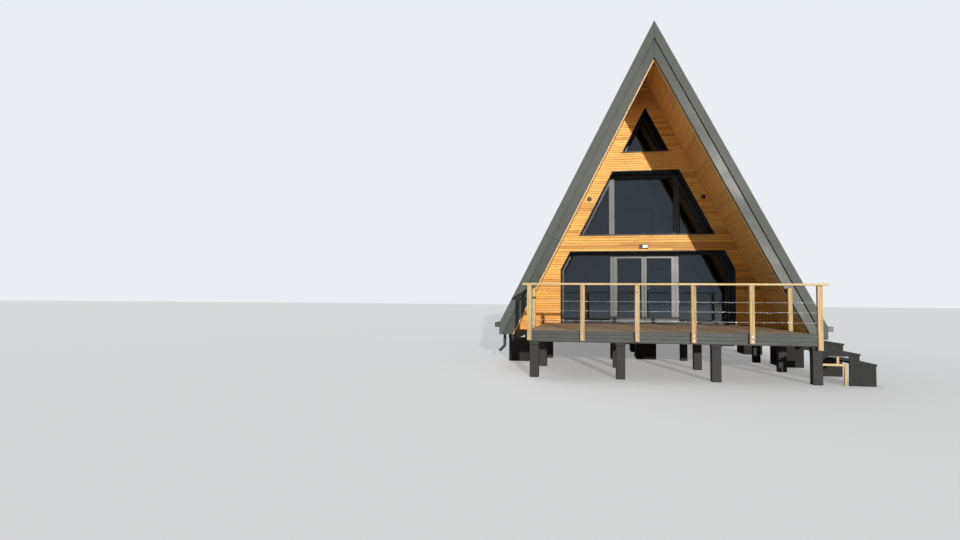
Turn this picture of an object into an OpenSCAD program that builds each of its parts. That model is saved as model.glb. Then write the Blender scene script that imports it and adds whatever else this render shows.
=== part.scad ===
// A-frame cabin on piers with a front deck, a side stair and a glazed double door.
// Millimetres, +Z up, +Y towards the back. The origin is on the ground under the middle of the roof.

/* [House] */
// length of the roof from the front verge to the back verge
house_length = 12200; // [9000:100:15000]
// height of the roof's outer edge at the ridge
ridge_height = 8515; // [7400:5:10000]
// distance from the centre line to the cut end of each roof side
eave_reach = 3780; // [3500:10:4100]
// height at which a roof side's outer face meets its cut end
eave_top = 1095; // [1000:5:1300]
// height of the underside of the roof sides
eave_bottom = 800; // [700:10:1000]
// depth of the covered recess in front of the front wall
front_recess = 2980; // [1500:10:4000]
// depth of the recess behind the back wall
back_recess = 600; // [200:10:1500]
// thickness of the front wall, whose windows stand in deep recesses
front_wall_thickness = 750; // [740:10:1000]
// thickness of the back wall
back_wall_thickness = 300; // [300:10:400]
// height of the ground floor and of the deck
floor_height = 1000; // [850:10:1300]
// thickness of the ground floor
floor_thickness = 200; // [120:10:300]
// height of the upper floor above the ground floor
storey_height = 2450; // [2300:10:2550]
// thickness of the upper floor
upper_floor_thickness = 220; // [150:10:300]

/* [Roof] */
// thickness of a roof side, square to its slope
roof_thickness = 166; // [120:1:260]
// thickness of the boards that line the roof's underside in both recesses
lining_thickness = 18; // [12:1:30]
// how far the verge trim stands above the roof
trim_rise = 25; // [10:1:60]
// thickness of the verge trim, along the house
trim_thickness = 40; // [20:1:80]
// depth of the verge beam under the lining, square to its slope
beam_depth = 200; // [100:1:300]
// width of the verge beam, along the house
beam_width = 120; // [60:1:200]
// how far the verge beam stands behind the verge trim
beam_setback = 15; // [5:1:30]
// thickness of the ridge cap
cap_sheet = 10; // [4:1:15]
// height of the ridge cap's skirts
cap_drop = 380; // [200:10:600]

/* [Gutters] */
// width of a gutter
gutter_width = 115; // [90:1:160]
// height of a gutter
gutter_height = 120; // [90:1:160]
// wall of a gutter
gutter_wall = 8; // [4:1:12]
// how far the gutters' rims stand above the ends of the roof sides
gutter_rise = 5; // [0:1:40]
// diameter of a downpipe
pipe_diameter = 80; // [60:1:110]
// distance of the downpipes behind the front verge
pipe_setback = 1400; // [600:10:3000]
// diameter of the bend at the foot of a downpipe
elbow_diameter = 90; // [84:1:130]
// height of the bend at the foot of a downpipe
pipe_bend_height = 430; // [300:10:600]
// length of the shoe below the bend
shoe_length = 200; // [120:5:300]

/* [Foundation] */
// width of a foundation block across the house
block_width = 550; // [400:10:800]
// length of a foundation block along the house
block_length = 1000; // [600:10:1500]
// distance between the rows of blocks
block_spacing = 4000; // [2500:50:4800]
// how far the outer faces of the blocks stand behind the ends of the roof sides
block_inset = 30; // [0:5:200]
// height of the sill beams
sill_height = 200; // [120:10:300]
// width of the sill beams
sill_width = 200; // [120:10:300]
// how far the sill beams stand behind the ends of the roof sides
sill_inset = 20; // [0:5:60]

/* [Windows] */
// width of wall between the soffit and the slanted sides of the upper windows
window_flank = 398; // [250:1:450]
// width of wall between the soffit and the slanted sides of the patio glazing
patio_flank = 371; // [250:1:450]
// half of the triangular window's width at its sill
triangle_half = 661; // [400:1:900]
// height of the wall between the upper window and the triangular window
gable_band = 546; // [300:1:700]
// height of the upper window's sill above the floor
upper_sill = 2567; // [2500:1:2700]
// height of the patio glazing
patio_height = 2101; // [1950:1:2200]
// height at which the patio glazing begins to narrow
patio_knee = 1565; // [1200:1:1800]
// distance of the mullions from the centre line
mullion_reach = 935; // [800:1:1000]
// width of the upper window's mullions
upper_mullion = 150; // [60:1:180]
// width of the patio glazing's mullions
patio_mullion = 90; // [60:1:140]
// visible width of the window frames
frame_width = 60; // [40:1:90]
// depth of the window frames
frame_depth = 70; // [50:1:100]
// distance of the front frames behind the front wall's outer face
reveal_depth = 650; // [60:5:660]
// distance of the back frames behind the back wall's outer face
back_reveal_depth = 200; // [60:5:220]
// thickness of the glazing
glass_thickness = 28; // [20:1:36]
// half of the spacing of the two back windows
back_window_reach = 1300; // [900:10:1600]
// width of a back window
back_window_width = 1000; // [700:10:1200]
// height of a back window
back_window_height = 1150; // [800:10:1400]
// height of a back window's sill above the floor
back_window_sill = 900; // [700:10:1100]

/* [Door] */
// height of the threshold
threshold_height = 40; // [20:1:60]
// thickness of a door leaf
leaf_thickness = 56; // [44:1:64]
// width of a leaf's hinge stile
hinge_stile = 100; // [70:1:120]
// width of a leaf's meeting stile
meeting_stile = 60; // [55:1:90]
// width of a leaf's top rail
top_rail = 95; // [70:1:140]
// width of a leaf's bottom rail
bottom_rail = 140; // [90:1:240]
// how far a leaf's outer face stands behind the frame's
leaf_setback = 10; // [8:0.5:12]
// gap between a leaf and the frame
leaf_gap = 6; // [5:0.5:10]
// gap between the two leaves
meeting_gap = 12; // [11:0.5:16]
// radius of a hinge knuckle
knuckle_radius = 8; // [6:0.5:10]
// length of one hinge knuckle
knuckle_length = 45; // [30:1:70]
// how far the knuckles stand off the frame
knuckle_stand = 5; // [4:0.5:8]
// width of a hinge plate
plate_width = 34; // [28:1:60]
// thickness of a hinge plate
plate_depth = 4; // [3:0.5:6]
// distance of the outer hinges from the leaf's ends
hinge_margin = 220; // [150:5:300]
// height of the door handle above the floor
handle_height = 1050; // [900:10:1150]
// width of the door handle's bars
handle_width = 18; // [12:1:26]
// thickness of the door handle's levers
handle_thickness = 14; // [8:1:20]
// length of the door handle's levers
handle_length = 129; // [90:1:160]
// how far the door handle stands off the leaf
handle_reach = 45; // [35:1:60]

/* [Wall fittings] */
// width of the wall lamp
lamp_width = 220; // [120:5:300]
// height of the wall lamp
lamp_height = 130; // [80:5:200]
// how far the wall lamp stands out
lamp_reach = 110; // [60:5:160]
// place of the wall lamp across the wall
lamp_x = -50; // [-300:10:300]
// height of the wall lamp's underside above the floor
lamp_place = 2155; // [2120:5:2400]
// radius of a wall vent
vent_radius = 70; // [40:1:90]
// how far a wall vent stands out
vent_reach = 22; // [10:1:40]
// distance of the wall vents from the soffit
vent_margin = 157; // [100:1:280]
// height of the wall vents above the floor
vent_height = 3625; // [3500:5:3700]

/* [Deck] */
// how far the deck reaches in front of the front verge
deck_reach = 2060; // [1200:10:3000]
// place of the deck's left edge
deck_left = -2862; // [-3200:1:-2500]
// place of the deck's right edge
deck_right = 2898; // [2500:1:3200]
// thickness of the deck boards
board_thickness = 30; // [20:1:45]
// height of the deck fascia
fascia_height = 222; // [212:1:236]
// thickness of the deck fascia
fascia_thickness = 25; // [15:1:40]
// height of the deck joists
joist_height = 120; // [80:5:150]
// width of a deck joist
joist_width = 60; // [40:5:100]
// number of deck joists
joist_count = 9; // [6:1:12]
// height of the deck beams
deck_beam_height = 90; // [60:5:120]
// number of deck piers in a row
pier_count = 4; // [3:1:6]
// number of rows of deck piers
pier_rows = 3; // [2:1:4]
// width of a deck pier
pier_width = 190; // [140:5:260]
// distance of the left piers from the deck's left edge
pier_inset = 41; // [0:1:200]
// how far the right piers stand out past the deck's right edge
pier_overhang = 112; // [0:1:130]
// distance between the first and second piers in a row
first_bay = 1815; // [1500:5:2100]
// gap between the corner post and the pier behind it
pier_gap = 5; // [2:1:40]
// height of the plate on a deck pier
plate_height = 60; // [30:5:100]
// how far the plate stands out around its pier
plate_margin = 8; // [0:1:30]

/* [Rail] */
// width of a rail post
post_width = 95; // [70:1:120]
// height of the front posts' feet below the deck
post_drop = 200; // [100:5:210]
// height of the corner post's foot below the deck
corner_drop = 310; // [200:5:400]
// how far the corner post stands in front of the deck fascia
corner_lead = 25; // [0:1:90]
// height of the rail cap's underside above the deck
rail_height = 974; // [850:1:1100]
// thickness of the rail cap
rail_cap_thickness = 40; // [25:1:60]
// width of the front rail cap
rail_cap_width = 150; // [110:5:220]
// how far the rail cap reaches past the corner post
rail_cap_end = 88; // [20:1:200]
// how much wider than the posts the left rail's cap is
cap_margin = 10; // [0:1:60]
// number of front rail posts before the corner post
front_posts = 5; // [4:1:7]
// distance of the front rail's last post from the corner post
last_bay = 1285; // [900:5:1500]
// distance of the rear rail posts in front of the verge
rear_post_gap = 70; // [10:1:300]
// number of cables in a rail
cable_count = 3; // [2:1:6]
// height of the lowest cable above the deck
cable_height = 230; // [100:5:300]
// distance between two cables
cable_pitch = 200; // [100:5:230]
// diameter of a cable
cable_diameter = 8; // [5:0.5:12]

/* [Stair] */
// drop from the deck to the first tread
first_drop = 170; // [120:1:220]
// rise of the other treads
tread_rise = 197; // [150:1:220]
// place of the first tread's nose beyond the deck's edge
first_nose = 512; // [350:1:600]
// going of the other treads
tread_going = 295; // [240:1:340]
// number of treads
tread_count = 3; // [2:1:4]
// thickness of a tread
tread_thickness = 40; // [30:1:60]
// overlap of a tread over the next one
tread_nosing = 20; // [5:1:40]
// distance of the stair from the posts on both sides
stair_gap = 40; // [10:5:200]
// thickness of a stringer
stringer_thickness = 45; // [30:1:60]
// depth of a stringer under the first tread
stringer_depth = 215; // [200:5:300]
// height of the support under the stair's stringers
support_height = 430; // [300:5:500]
// distance of the support's short strut from the deck's edge
strut_place = 370; // [100:5:480]
// width of the timbers of the support
support_timber = 45; // [35:1:80]

/* [Hidden] */
clearance = 0.3;
big = 20000;
web_gap = 2;
web_width = 8;
roof_pitch = atan((ridge_height - eave_top) / eave_reach);
slope = 1 / tan(roof_pitch);
slant = sin(roof_pitch);
function lowered(apex, depth) = apex - depth / cos(roof_pitch);
function half_at(apex, z) = slope * (apex - z);

// heights of the ridge of each roof line
roof_apex = lowered(ridge_height, trim_rise);
soffit_apex = lowered(roof_apex, roof_thickness);
lining_apex = lowered(soffit_apex, lining_thickness);
beam_apex = lowered(lining_apex, beam_depth);
cap_apex = lowered(roof_apex, -cap_sheet);

// places along the house
front_y = -house_length / 2;
back_y = house_length / 2;
facade_y = front_y + front_recess;
room_front_y = facade_y + front_wall_thickness;
back_face_y = back_y - back_recess;
room_back_y = back_face_y - back_wall_thickness;
frame_y = facade_y + reveal_depth;
back_frame_y = back_face_y - back_reveal_depth - frame_depth;

// heights of the storeys and the windows
centre_sill_bottom = floor_height - floor_thickness - sill_height;
upper_floor_z = floor_height + storey_height;
patio_top = floor_height + patio_height;
patio_knee_z = floor_height + patio_knee;
upper_sill_z = floor_height + upper_sill;
triangle_z = lining_apex - (triangle_half + window_flank) / slope;
upper_top = triangle_z - gable_band;
patio_half = half_at(lining_apex, patio_knee_z) - patio_flank;
upper_half = half_at(lining_apex, upper_sill_z) - window_flank;
vent_z = floor_height + vent_height;
vent_x = half_at(lining_apex, vent_z) - vent_margin;

// foundation and gutters
block_reach = eave_reach - block_inset;
sill_reach = eave_reach - sill_inset;
gutter_rim = eave_top + gutter_rise;

// door leaves
jamb_reach = mullion_reach - patio_mullion / 2;
leaf_width = jamb_reach - leaf_gap - meeting_gap / 2;
leaf_bottom = floor_height + threshold_height + leaf_gap;
leaf_top = patio_top - frame_width - leaf_gap;
leaf_y = frame_y + leaf_setback;
knuckle_y = frame_y + frame_depth + knuckle_radius + knuckle_stand;
hinge_reach = jamb_reach - leaf_gap / 2;
hinge_heights = [leaf_bottom + hinge_margin, (leaf_bottom + leaf_top) / 2,
                 leaf_top - hinge_margin - 2 * knuckle_length];

// deck
deck_front = front_y - deck_reach;
board_bottom = floor_height - board_thickness;
joist_bottom = board_bottom - joist_height;
deck_beam_bottom = joist_bottom - deck_beam_height;
plate_bottom = deck_beam_bottom - plate_height;
pier_first = deck_left + pier_inset + pier_width / 2;
pier_last = deck_right + pier_overhang - pier_width / 2;
rail_y = deck_front - post_width / 2;
corner_y = deck_front + post_width / 2 - corner_lead;
pier_front_y = corner_y + post_width / 2 + pier_gap + plate_margin + pier_width / 2;
pier_back_y = facade_y - plate_margin - pier_width / 2;
left_post_x = deck_left - post_width / 2;
first_post_x = deck_left + post_width / 2;
corner_post_x = deck_right + post_width / 2;
post_pitch = (corner_post_x - last_bay - first_post_x) / (front_posts - 1);
rear_post_y = front_y - rear_post_gap - post_width / 2;
middle_post_y = (deck_front + rear_post_y) / 2;
rail_top = floor_height + rail_height;

// stair
stair_front = corner_y + post_width / 2 + stair_gap;
stair_back = rear_post_y - post_width / 2 - stair_gap;
support_x = deck_right + pier_overhang + clearance;
stringer_x = support_x + plate_margin;

// shared shapes

// extrudes a front-view outline between two places along the house
module along(y0, y1) {
    translate([0, y1, 0]) rotate([90, 0, 0]) linear_extrude(height = y1 - y0) children();
}

// a box between two corners
module block(low, high) {
    translate(low) cube(high - low);
}

// a straight round rod between two points at the same height
module rod(a, b, d) {
    run = b - a;
    translate(a) rotate([0, 0, atan2(run[1], run[0])]) rotate([0, 90, 0])
        cylinder(h = norm(run), d = d, $fn = 10);
}

// a band of one roof side between two roof lines, cut level at the foot
module side_band(outer, inner, foot) {
    reach = min(half_at(outer, foot), eave_reach);
    cut = outer - reach / slope;
    polygon([[0, outer], [reach, cut], [reach, foot], [min(reach, half_at(inner, foot)), foot], [0, inner]]);
}

// the outline of the room between two heights, clear of the roof sides
module room_outline(z0, z1, apex = soffit_apex) {
    w0 = half_at(apex, z0) - clearance;
    w1 = half_at(apex, z1) - clearance;
    polygon([[-w0, z0], [w0, z0], [w1, z1], [-w1, z1]]);
}

// window outlines with sides that follow the roof, set in by a margin
module trapezoid(half, z0, z1, margin = 0) {
    low = z0 + margin;
    high = z1 - margin;
    shift = margin / slant;
    w0 = half - slope * (low - z0) - shift;
    w1 = half - slope * (high - z0) - shift;
    polygon([[-w0, low], [w0, low], [w1, high], [-w1, high]]);
}

module triangle(half, z0, margin = 0) {
    low = z0 + margin;
    w0 = half - slope * margin - margin / slant;
    polygon([[-w0, low], [w0, low], [0, low + w0 / slope]]);
}

module patio_outline(side = 0, bottom = 0) {
    w0 = patio_half - side;
    knee = patio_knee_z - side * (1 / slant - 1) / slope;
    high = patio_top - side;
    w1 = patio_half - slope * (high - patio_knee_z) - side / slant;
    low = floor_height + bottom;
    polygon([[-w0, low], [w0, low], [w0, knee], [w1, high], [-w1, high], [-w0, knee]]);
}

// both halves of something that repeats on the left and the right
module both_sides() {
    children();
    mirror([1, 0, 0]) children();
}

// foundation

module foundation_blocks() {
    half = block_length / 2;
    color([0.13, 0.13, 0.13]) {
        for (row = [-1, 0, 1]) translate([0, row * block_spacing, 0]) both_sides()
            block([block_reach - block_width, -half, 0], [block_reach, half, eave_bottom - sill_height]);
        for (y = [facade_y + half, 0, block_spacing]) translate([0, y, 0])
            block([-block_width / 2, -half, 0], [block_width / 2, half, centre_sill_bottom]);
    }
}

module sill_beams() {
    first = -block_spacing - block_length / 2;
    color([0.1, 0.1, 0.1]) {
        both_sides() block([sill_reach - sill_width, first, eave_bottom - sill_height],
                           [sill_reach, back_face_y, eave_bottom]);
        block([-sill_width / 2, facade_y, centre_sill_bottom],
              [sill_width / 2, back_face_y, floor_height - floor_thickness]);
    }
}

module ground_floor() {
    color([0.35, 0.3, 0.25]) along(facade_y, back_face_y)
        room_outline(floor_height - floor_thickness, floor_height);
}

module upper_floor() {
    color([0.55, 0.42, 0.28]) along(room_front_y, room_back_y)
        room_outline(upper_floor_z - upper_floor_thickness, upper_floor_z);
}

// roof

module roof_side() {
    color([0.2, 0.22, 0.24]) along(front_y + trim_thickness, back_y - trim_thickness)
        side_band(roof_apex, soffit_apex, eave_bottom);
}

module roof_left() mirror([1, 0, 0]) roof_side();

module roof_right() roof_side();

// the boards under one roof side, in both recesses
module soffit() {
    color([0.8, 0.52, 0.24]) {
        along(front_y + trim_thickness, facade_y) side_band(soffit_apex, lining_apex, eave_bottom);
        along(back_face_y, back_y - trim_thickness) side_band(soffit_apex, lining_apex, eave_bottom);
    }
}

module soffit_left() mirror([1, 0, 0]) soffit();

module soffit_right() soffit();

module ridge_cap() {
    foot = roof_apex - cap_drop;
    color([0.18, 0.2, 0.22]) along(front_y + trim_thickness, back_y - trim_thickness) polygon([
        [0, cap_apex], [half_at(cap_apex, foot), foot], [half_at(roof_apex, foot), foot],
        [0, roof_apex], [-half_at(roof_apex, foot), foot], [-half_at(cap_apex, foot), foot]]);
}

module front_verge() {
    color([0.42, 0.44, 0.43]) {
        along(front_y, front_y + trim_thickness) side_band(ridge_height, soffit_apex, eave_bottom);
        along(front_y + beam_setback, front_y + beam_setback + beam_width)
            side_band(lining_apex, beam_apex, eave_bottom);
    }
}

module front_verge_left() mirror([1, 0, 0]) front_verge();

module front_verge_right() front_verge();

module back_verge_left() mirror([0, 1, 0]) front_verge_left();

module back_verge_right() mirror([0, 1, 0]) front_verge_right();

// gutters and downpipes

module gutters() {
    low = gutter_rim - gutter_height;
    outer = eave_reach + gutter_width;
    color([0.22, 0.24, 0.25]) both_sides() difference() {
        block([eave_reach, front_y, low], [outer, back_y, gutter_rim]);
        block([eave_reach + gutter_wall, front_y + gutter_wall, low + gutter_wall],
              [outer - gutter_wall, back_y - gutter_wall, gutter_rim + 1]);
    }
}

module downpipes() {
    x = eave_reach + gutter_width / 2;
    low = gutter_rim - gutter_height;
    color([0.15, 0.16, 0.17]) both_sides() translate([x, front_y + pipe_setback, 0]) {
        translate([0, 0, pipe_bend_height]) cylinder(h = low - pipe_bend_height, d = pipe_diameter, $fn = 24);
        translate([0, 0, pipe_bend_height]) sphere(d = elbow_diameter, $fn = 32);
        translate([0, 0, pipe_bend_height]) rotate([0, 135, 0])
            cylinder(h = shoe_length, d = pipe_diameter, $fn = 24);
    }
}

// walls

module wall_flanks(z0, z1) {
    difference() {
        room_outline(z0, z1);
        children();
    }
}

module front_wall_lower() {
    color([0.93, 0.66, 0.34]) along(facade_y, room_front_y)
        wall_flanks(floor_height, patio_top) patio_outline(0, -1);
}

module front_wall_band() {
    color([0.9, 0.62, 0.3]) along(facade_y, room_front_y) room_outline(patio_top, upper_sill_z);
}

module upper_flanks() {
    wall_flanks(upper_sill_z, upper_top) trapezoid(upper_half, upper_sill_z, upper_top);
}

module gable() {
    difference() {
        room_outline(upper_top, soffit_apex - 1);
        triangle(triangle_half, triangle_z);
    }
}

module front_wall_upper() {
    color([0.93, 0.66, 0.34]) along(facade_y, room_front_y) upper_flanks();
}

module front_wall_gable() {
    color([0.9, 0.62, 0.3]) along(facade_y, room_front_y) gable();
}

module back_window_hole(margin = 0) {
    sill = floor_height + back_window_sill;
    for (side = [-1, 1]) translate([side * back_window_reach - back_window_width / 2 + margin, sill + margin])
        square([back_window_width - 2 * margin, back_window_height - 2 * margin]);
}

module back_wall_lower() {
    color([0.9, 0.62, 0.3]) along(room_back_y, back_face_y) difference() {
        room_outline(floor_height, upper_sill_z);
        back_window_hole();
    }
}

module back_wall_upper() {
    color([0.93, 0.66, 0.34]) along(room_back_y, back_face_y) upper_flanks();
}

module back_wall_gable() {
    color([0.9, 0.62, 0.3]) along(room_back_y, back_face_y) gable();
}

// windows

module frame_colour() color([0.25, 0.26, 0.27]) children();

module glass_colour() color([0.35, 0.42, 0.5, 0.6]) children();

module mullion_bars(width) {
    for (side = [-1, 1]) translate([side * mullion_reach - width / 2, 0]) square([width, big]);
}

module triangle_frame_outline() {
    difference() {
        triangle(triangle_half, triangle_z, clearance);
        triangle(triangle_half, triangle_z, frame_width);
    }
}

module upper_frame_outline() {
    difference() {
        trapezoid(upper_half, upper_sill_z, upper_top, clearance);
        difference() {
            trapezoid(upper_half, upper_sill_z, upper_top, frame_width);
            mullion_bars(upper_mullion);
        }
    }
}

module upper_glass_outline() {
    difference() {
        trapezoid(upper_half, upper_sill_z, upper_top, frame_width);
        mullion_bars(upper_mullion);
    }
}

// a sheet of glass in the middle of a frame's depth
module glazing(y) {
    middle = y + frame_depth / 2;
    glass_colour() along(middle - glass_thickness / 2, middle + glass_thickness / 2) children();
}

module front_window_frames() {
    frame_colour() along(frame_y, frame_y + frame_depth) {
        triangle_frame_outline();
        upper_frame_outline();
    }
}

module front_window_glass() {
    glazing(frame_y) {
        triangle(triangle_half, triangle_z, frame_width);
        upper_glass_outline();
    }
}

module back_window_frames() {
    frame_colour() along(back_frame_y, back_frame_y + frame_depth) {
        triangle_frame_outline();
        upper_frame_outline();
        difference() {
            back_window_hole(clearance);
            back_window_hole(frame_width);
        }
    }
}

module back_window_glass() {
    glazing(back_frame_y) {
        triangle(triangle_half, triangle_z, frame_width);
        upper_glass_outline();
        back_window_hole(frame_width);
    }
}

module patio_frame() {
    frame_colour() {
        along(frame_y, frame_y + frame_depth) difference() {
            patio_outline(clearance);
            difference() {
                patio_outline(frame_width, threshold_height);
                mullion_bars(patio_mullion);
            }
        }
        // fixed knuckles of the hinges
        for (z = hinge_heights) both_sides() translate([jamb_reach, 0, z]) {
            translate([-leaf_gap / 2, knuckle_y, 0]) cylinder(h = knuckle_length, r = knuckle_radius, $fn = 24);
            block([-web_gap, frame_y + frame_depth, 0], [web_width, knuckle_y, knuckle_length]);
            block([0, frame_y + frame_depth, 0],
                  [plate_width, frame_y + frame_depth + plate_depth, knuckle_length]);
        }
    }
}

module patio_glass() {
    glazing(frame_y) difference() {
        patio_outline(frame_width, threshold_height);
        translate([-mullion_reach - patio_mullion / 2, 0]) square([2 * mullion_reach + patio_mullion, big]);
    }
}

// door leaves; the right leaf is drawn from its hinge towards the middle

module leaf_outline(side, top, bottom, meeting) {
    polygon([[jamb_reach - leaf_gap - side, leaf_bottom + bottom], [jamb_reach - leaf_gap - side, leaf_top - top],
             [jamb_reach - leaf_gap - leaf_width + meeting, leaf_top - top],
             [jamb_reach - leaf_gap - leaf_width + meeting, leaf_bottom + bottom]]);
}

module leaf_frame() {
    inner_face = leaf_y + leaf_thickness;
    frame_colour() {
        along(leaf_y, inner_face) difference() {
            leaf_outline(0, 0, 0, 0);
            leaf_outline(hinge_stile, top_rail, bottom_rail, meeting_stile);
        }
        // moving knuckles of the hinges
        for (z = hinge_heights) translate([0, 0, z + knuckle_length + clearance]) {
            translate([hinge_reach, knuckle_y, 0]) cylinder(h = knuckle_length, r = knuckle_radius, $fn = 24);
            block([hinge_reach - web_width, inner_face, 0], [hinge_reach - web_gap, knuckle_y, knuckle_length]);
            block([hinge_reach - plate_width, inner_face, 0],
                  [hinge_reach - leaf_gap / 2, inner_face + plate_depth, knuckle_length]);
        }
    }
}

module leaf_glass() {
    middle = leaf_y + leaf_thickness / 2;
    glass_colour() along(middle - glass_thickness / 2, middle + glass_thickness / 2)
        leaf_outline(hinge_stile, top_rail, bottom_rail, meeting_stile);
}

// a lever handle on both faces of the right leaf's meeting stile
module door_handle() {
    x = jamb_reach - leaf_gap - leaf_width + meeting_stile / 2;
    z = floor_height + handle_height;
    half = handle_width / 2;
    outside = leaf_y - handle_reach;
    inside = leaf_y + leaf_thickness + handle_reach;
    frame_colour() translate([x, 0, z]) {
        block([-half, outside, -half], [half, inside, half]);
        for (y = [outside, inside - handle_thickness])
            block([-half, y, -half], [handle_length - half, y + handle_thickness, half]);
    }
}

module door_right_frame() {
    leaf_frame();
    door_handle();
}

module door_right_glass() leaf_glass();

module door_left_frame() mirror([1, 0, 0]) leaf_frame();

module door_left_glass() mirror([1, 0, 0]) leaf_glass();

// wall fittings

module wall_lamp() {
    color([0.12, 0.12, 0.12]) translate([lamp_x, facade_y, floor_height + lamp_place])
        block([-lamp_width / 2, -lamp_reach, 0], [lamp_width / 2, 0, lamp_height]);
}

module wall_vents() {
    color([0.1, 0.09, 0.08]) both_sides() translate([vent_x, facade_y, vent_z])
        rotate([90, 0, 0]) cylinder(h = vent_reach, r = vent_radius, $fn = 32);
}

// deck

module deck_boards() {
    color([0.55, 0.5, 0.44]) block([deck_left + fascia_thickness, deck_front + fascia_thickness, board_bottom],
                                   [deck_right - fascia_thickness, facade_y, floor_height]);
}

module deck_fascia() {
    low = floor_height - fascia_height;
    back = deck_front + fascia_thickness;
    color([0.34, 0.35, 0.34]) {
        block([deck_left, deck_front, low], [deck_right, back, floor_height]);
        block([deck_left, back + clearance, low], [deck_left + fascia_thickness, facade_y, floor_height]);
        block([deck_right - fascia_thickness, back + clearance, low], [deck_right, facade_y, floor_height]);
    }
}

module deck_joists() {
    first = deck_left + fascia_thickness;
    last = deck_right - fascia_thickness - joist_width;
    color([0.6, 0.47, 0.3]) for (i = [0:joist_count - 1]) {
        x = first + (last - first) * i / (joist_count - 1);
        block([x, deck_front + fascia_thickness, joist_bottom], [x + joist_width, facade_y, board_bottom]);
    }
}

function pier_y(row) = pier_front_y + (pier_back_y - pier_front_y) * row / (pier_rows - 1);
second_pier = pier_first + first_bay;
function pier_x(i) = i == 0 ? pier_first : second_pier + (pier_last - second_pier) * (i - 1) / (pier_count - 2);

module deck_beams() {
    half = pier_width / 2;
    color([0.3, 0.25, 0.2]) for (row = [0:pier_rows - 1])
        block([deck_left + fascia_thickness, pier_y(row) - half, deck_beam_bottom],
              [deck_right - fascia_thickness, pier_y(row) + half, joist_bottom]);
}

module deck_piers() {
    half = pier_width / 2;
    wide = half + plate_margin;
    color([0.22, 0.22, 0.21]) for (row = [0:pier_rows - 1]) for (i = [0:pier_count - 1])
        translate([pier_x(i), pier_y(row), 0]) {
            block([-half, -half, 0], [half, half, plate_bottom]);
            block([-wide, -wide, plate_bottom], [wide, wide, deck_beam_bottom]);
        }
}

// rail

module post(x, y, drop) {
    half = post_width / 2;
    block([x - half, y - half, floor_height - drop], [x + half, y + half, rail_top]);
}

module rail_posts() {
    color([0.9, 0.72, 0.45]) {
        for (i = [0:front_posts - 1]) post(first_post_x + i * post_pitch, rail_y, post_drop);
        post(corner_post_x, corner_y, corner_drop);
        post(corner_post_x, rear_post_y, corner_drop);
        post(left_post_x, rear_post_y, post_drop);
        post(left_post_x, middle_post_y, post_drop);
    }
}

module rail_cap() {
    front = rail_y - rail_cap_width / 2;
    back = front + rail_cap_width;
    side = (post_width + cap_margin) / 2;
    high = rail_top + rail_cap_thickness;
    color([0.86, 0.66, 0.4]) {
        block([left_post_x - side, front, rail_top],
              [corner_post_x + post_width / 2 + rail_cap_end, back, high]);
        block([left_post_x - side, back + clearance, rail_top],
              [left_post_x + side, rear_post_y + post_width / 2, high]);
    }
}

module rail_cables() {
    half = post_width / 2;
    last_x = first_post_x + (front_posts - 1) * post_pitch;
    color([0.6, 0.6, 0.6]) for (i = [0:cable_count - 1]) {
        z = floor_height + cable_height + i * cable_pitch;
        for (j = [0:front_posts - 2]) {
            x = first_post_x + j * post_pitch;
            rod([x + half, rail_y, z], [x + post_pitch - half, rail_y, z], cable_diameter);
        }
        rod([last_x + half, rail_y, z], [corner_post_x - half, corner_y, z], cable_diameter);
        rod([first_post_x - half / 2, deck_front, z], [left_post_x, middle_post_y - half, z], cable_diameter);
        rod([left_post_x, middle_post_y + half, z], [left_post_x, rear_post_y - half, z], cable_diameter);
    }
}

// stair

function tread_z(i) = floor_height - first_drop - i * tread_rise;
function nose_x(i) = deck_right + first_nose + i * tread_going;
function tread_back(i) = i == 0 ? deck_right : nose_x(i - 1) - tread_nosing;
stringer_bottom = tread_z(0) - tread_thickness - stringer_depth;
stringer_foot_x = nose_x(0) + 2 * support_timber;

module stair_treads() {
    color([0.12, 0.12, 0.12]) for (i = [0:tread_count - 1])
        block([tread_back(i), stair_front, tread_z(i) - tread_thickness], [nose_x(i), stair_back, tread_z(i)]);
}

module stringer_outline() {
    last = tread_count - 1;
    steps = [for (i = [0:last]) each [
        [max(tread_back(i), stringer_x), tread_z(i) - tread_thickness],
        [nose_x(i) - tread_nosing, tread_z(i) - tread_thickness]]];
    polygon(concat(steps, [[nose_x(last) - tread_nosing, 0], [stringer_foot_x, 0],
                           [stringer_foot_x, stringer_bottom], [stringer_x, stringer_bottom]]));
}

module stair_stringers() {
    color([0.1, 0.1, 0.1]) {
        along(stair_front, stair_front + stringer_thickness) stringer_outline();
        along(stair_back - stringer_thickness, stair_back) stringer_outline();
    }
}

// the light timber frame under the front stringer
module stair_support() {
    y = stair_front;
    leg_x = nose_x(0);
    strut_x = deck_right + strut_place;
    color([0.85, 0.72, 0.5]) {
        block([leg_x, y, 0], [leg_x + support_timber, y + support_timber, support_height]);
        block([support_x, y, support_height - support_timber], [leg_x, y + support_timber, support_height]);
        block([strut_x, y, support_height], [strut_x + support_timber, y + support_timber, stringer_bottom]);
    }
}

foundation_blocks();
sill_beams();
ground_floor();
upper_floor();
roof_left();
roof_right();
soffit_left();
soffit_right();
ridge_cap();
front_verge_left();
front_verge_right();
back_verge_left();
back_verge_right();
gutters();
downpipes();
front_wall_lower();
front_wall_band();
front_wall_upper();
front_wall_gable();
back_wall_lower();
back_wall_upper();
back_wall_gable();
front_window_frames();
front_window_glass();
patio_frame();
patio_glass();
door_left_frame();
door_left_glass();
door_right_frame();
door_right_glass();
back_window_frames();
back_window_glass();
wall_lamp();
wall_vents();
deck_boards();
deck_fascia();
deck_joists();
deck_beams();
deck_piers();
rail_posts();
rail_cap();
rail_cables();
stair_treads();
stair_stringers();
stair_support();
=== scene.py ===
import itertools
import math

import bmesh
import bpy
import numpy as np
from mathutils import Matrix


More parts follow.
